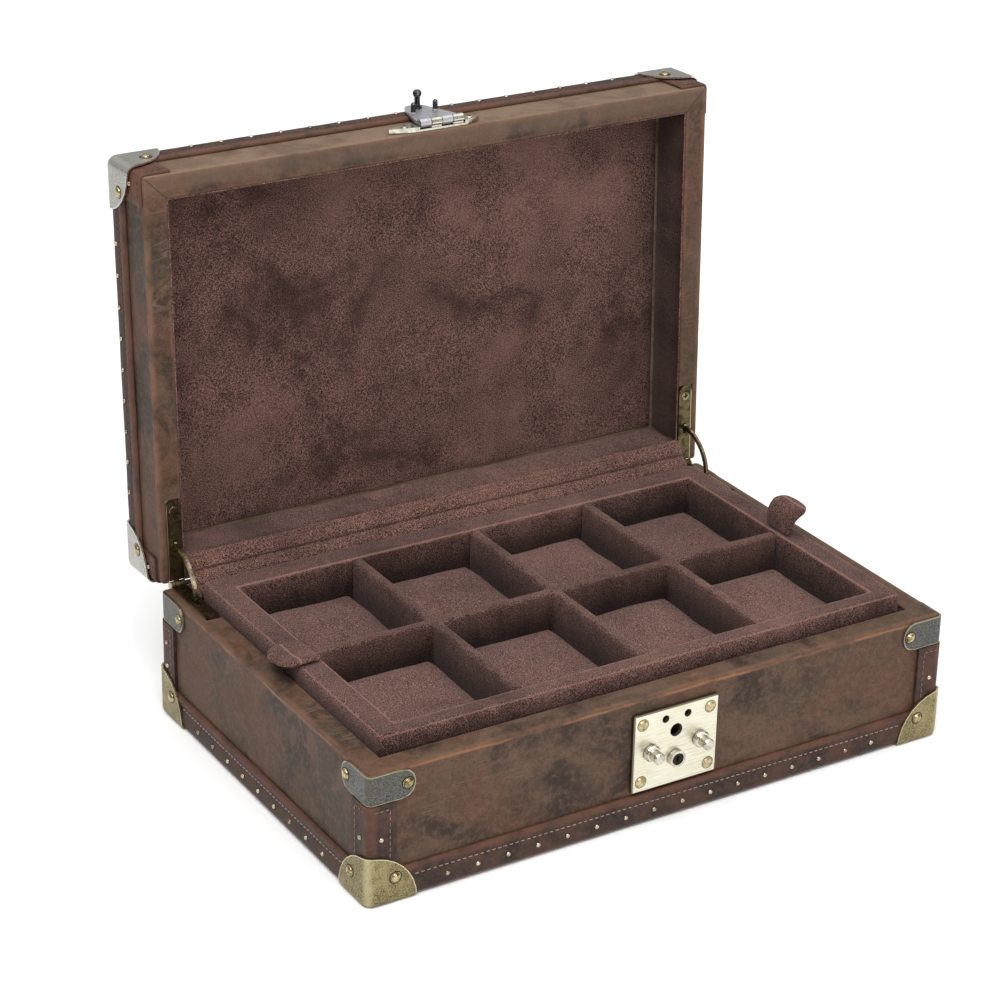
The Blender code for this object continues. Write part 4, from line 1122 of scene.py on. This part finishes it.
def make_pull_tabs():
    """Two suede straps on the tray's ends; the left lies flat and arches, the right stands up."""

    def left(u, v):
        width = 11.6 * (1.0 if u < 0.62 else math.sqrt(max(0.0, 1 - ((u - 0.62) / 0.38) ** 2 * 0.82)))
        across = v * 2 - 1
        arch = 1.3 * math.exp(-((across + 0.72) / 0.30) ** 2) * (1 - 0.3 * u)
        x = -135.4 - 19.6 * u
        z = TRAY_TOP + 1.0 + 0.5 * math.sin(math.pi * u) + arch - u * u
        return Vector((x, TRAY_MIDDLE_Y + width * across, z)), Vector((0, 0, 1))

    def right(u, v):
        across = v * 2 - 1
        width = 9.6 + 3.2 * u
        if u > 0.78:
            width *= math.sqrt(max(0.0, 1 - ((u - 0.78) / 0.22) ** 2 * 0.55))
        a = math.radians(10 + 70 * u * u)
        x = 136.6 + 1.5 * u + 10.0 * u * u * u
        z = TRAY_TOP + 0.6 + 16.5 * u * (1 - 0.18 * u * u)
        normal = Vector((-math.cos(a), 0, math.sin(a)))
        curl = 1.4 * across * across * u
        return Vector((x - curl, TRAY_MIDDLE_Y + 0.8 + width * across, z)), normal

    for side, function in (("left", left), ("right", right)):
        shape = ribbon(function, 22, 18, 1.8)
        tab = add_piece(f"pull_tab_{side}", shape, "suede_tray", "tray", angle=60)
        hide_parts(f"tray_pull_tab_{side}")
        if side == "left":
            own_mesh(tab)
        else:
            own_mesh(tab)


def flap_profile():
    """The flap's line from the lid to the base: two padded bands with a crease between, and plain ends."""
    path = [Vector((0, y, z)) for y, z in ((107.3, 81.0), (106.6, 81.9), (105.4, 81.9), (104.5, 81.0),
                                           (100.4, 75.2), (94.0, 69.6), (92.4, 67.6), (91.5, 64.2))]
    lengths = [(b - a).length for a, b in zip(path, path[1:])]
    total = sum(lengths)
    creases = (sum(lengths[:3]) + 0.6, sum(lengths[:4]), sum(lengths[:5]), total)
    points = []
    count = 64
    for i in range(count + 1):
        s = total * i / count
        k = 0
        before = 0.0
        while k < len(lengths) - 1 and s > before + lengths[k]:
            before += lengths[k]
            k += 1
        along = (path[k + 1] - path[k]).normalized()
        normal = Vector((0, along.z, -along.y))
        puff = 0.0
        for start, end in zip(creases, creases[1:]):
            if start < s < end:
                puff = 1.25 * math.sqrt(math.sin(math.pi * (s - start) / (end - start)))
            if abs(s - start) < 0.5 or abs(s - end) < 0.5:
                puff = -0.3
        points.append((path[k] + along * (s - before), normal, puff))
    return points, total


def make_flap():
    """The padded suede strip over the hinge line, from the lid's back wall to the base's."""
    points, length = flap_profile()
    half = FLAP_HALF_X
    thick = 0.9
    rows = []
    for i in range(99):
        x = -half + 2 * half * i / 98
        end = min(1.0, (half - abs(x)) / 2.5 + 0.3)
        top, low = [], []
        for k, (p, normal, puff) in enumerate(points):
            outward = -normal if normal.y > 0 or normal.z < 0 else normal
            wave = 0.25 * noise.noise(Vector((x * 0.06, k * 0.08, 2.0)))
            middle = Vector((x, p.y, p.z)) + outward * wave
            top.append(middle + outward * (0.5 * thick + puff * end) * end)
            low.append(middle - outward * 0.5 * thick * end)
        rows.append(top + list(reversed(low)))
    shape = bmesh.new()
    skin(shape, rows, caps=True)
    flap = add_piece("hinge_flap", shape, "suede_flap", None, angle=70)
    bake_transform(flap)


def make_hinge_roll():
    """A stiff suede roll along the hinge line, which closes the slit behind the flap at every angle."""
    shape = bmesh.new()
    loops = []
    for x in (-147.8, -147.4, 147.4, 147.8):
        r = 1.2 if abs(x) < 147.6 else 0.8
        loops.append([(x, HINGE.y + r * math.cos(math.pi * k / 8), HINGE.z + r * math.sin(math.pi * k / 8))
                      for k in range(16)])
    skin(shape, loops, caps=True)
    add_piece("hinge_roll", shape, "suede", "base", angle=60)


def make_lining_edges():
    """The pale cut edge of the suede just inside the lid's rim."""
    shape = bmesh.new()
    hx = HALF_X - RIM_WIDTH - 0.5
    hy = HALF_Y - RIM_WIDTH - 0.5
    loops = []
    for a in range(6):
        angle = math.radians(60 * a)
        loops.append(rounded_loop(hx + 0.45 * math.cos(angle), hy + 0.45 * math.cos(angle), 0.9,
                                  LID_RIM_Z + 1.0 + 0.45 * math.sin(angle), steps=3))
    skin(shape, loops, closed_rows=True)
    add_piece("lid_liner_edge", shape, "suede_pale", "lid", OPEN, angle=60)


# ---------------------------------------------------------------- studio

def make_stage():
    floor_shape = bmesh.new()
    bmesh.ops.create_grid(floor_shape, x_segments=2, y_segments=2, size=6000.0)
    floor = add_piece("floor", floor_shape, "floor", None)


def add_area(name, place, target, size, power):
    data = bpy.data.lights.new(name, "AREA")
    data.shape = "RECTANGLE"
    data.size, data.size_y = size
    data.energy = power
    light = add_object(name, data)
    light.location = place
    light.rotation_euler = (Vector(target) - Vector(place)).to_track_quat("-Z", "Y").to_euler()


def make_lights():
    world = bpy.data.worlds.new("studio")
    world.use_nodes = True
    background = world.node_tree.nodes["Background"]
    background.inputs["Color"].default_value = (1.0, 1.0, 1.0, 1.0)
    background.inputs["Strength"].default_value = 0.42
    bpy.context.scene.world = world
    add_area("key", (-0.8, -0.9, 2.0), (0.0, 0.0, 0.05), (1.3, 1.3), 26.0)
    add_area("ceiling", (0.2, 0.4, 3.2), (0.2, 0.4, 0.0), (6.0, 6.0), 140.0)
    add_area("front", (0.2, -2.2, 0.9), (0.0, 0.0, 0.1), (1.4, 0.8), 12.0)


def make_camera():
    azimuth, elevation, roll = (math.radians(v) for v in (-31.93, 24.74, 1.256))
    back = Vector((math.sin(azimuth) * math.cos(elevation), -math.cos(azimuth) * math.cos(elevation),
                   math.sin(elevation)))
    right = (-back).cross(Vector((0, 0, 1))).normalized()
    up = right.cross(-back)
    turned_right = right * math.cos(roll) + up * math.sin(roll)
    turned_up = up * math.cos(roll) - right * math.sin(roll)
    data = bpy.data.cameras.new("camera")
    data.sensor_width = 36.0
    data.lens = 36.0 * 2.84995
    data.clip_end = 50.0
    camera = add_object("camera", data)
    turn = Matrix((turned_right, turned_up, back)).transposed().to_4x4()
    camera.matrix_world = Matrix.Translation((-0.6841, -1.0480, 0.6982)) @ turn
    bpy.context.scene.camera = camera


make_looks()
make_camera()
make_lights()
make_stage()
dress_nodes()
make_binding_trim("base", 6.9, 11.6, STILL, "thread")
make_binding_trim("lid", 97.8, 94.0, OPEN, "dark_thread")
make_strip_trim()
make_rivets()
make_screws()
make_corner_patches()
make_bindings()
soften("tray_suede", "tray_frame", voxel=1.2, seed=1.0)
soften("divider_suede", "tray_dividers", voxel=1.0, seed=2.0)
make_liners()
make_cushions()
make_pull_tabs()
make_flap()
make_hinge_roll()
make_lining_edges()
bpy.context.scene.view_settings.view_transform = "Standard"
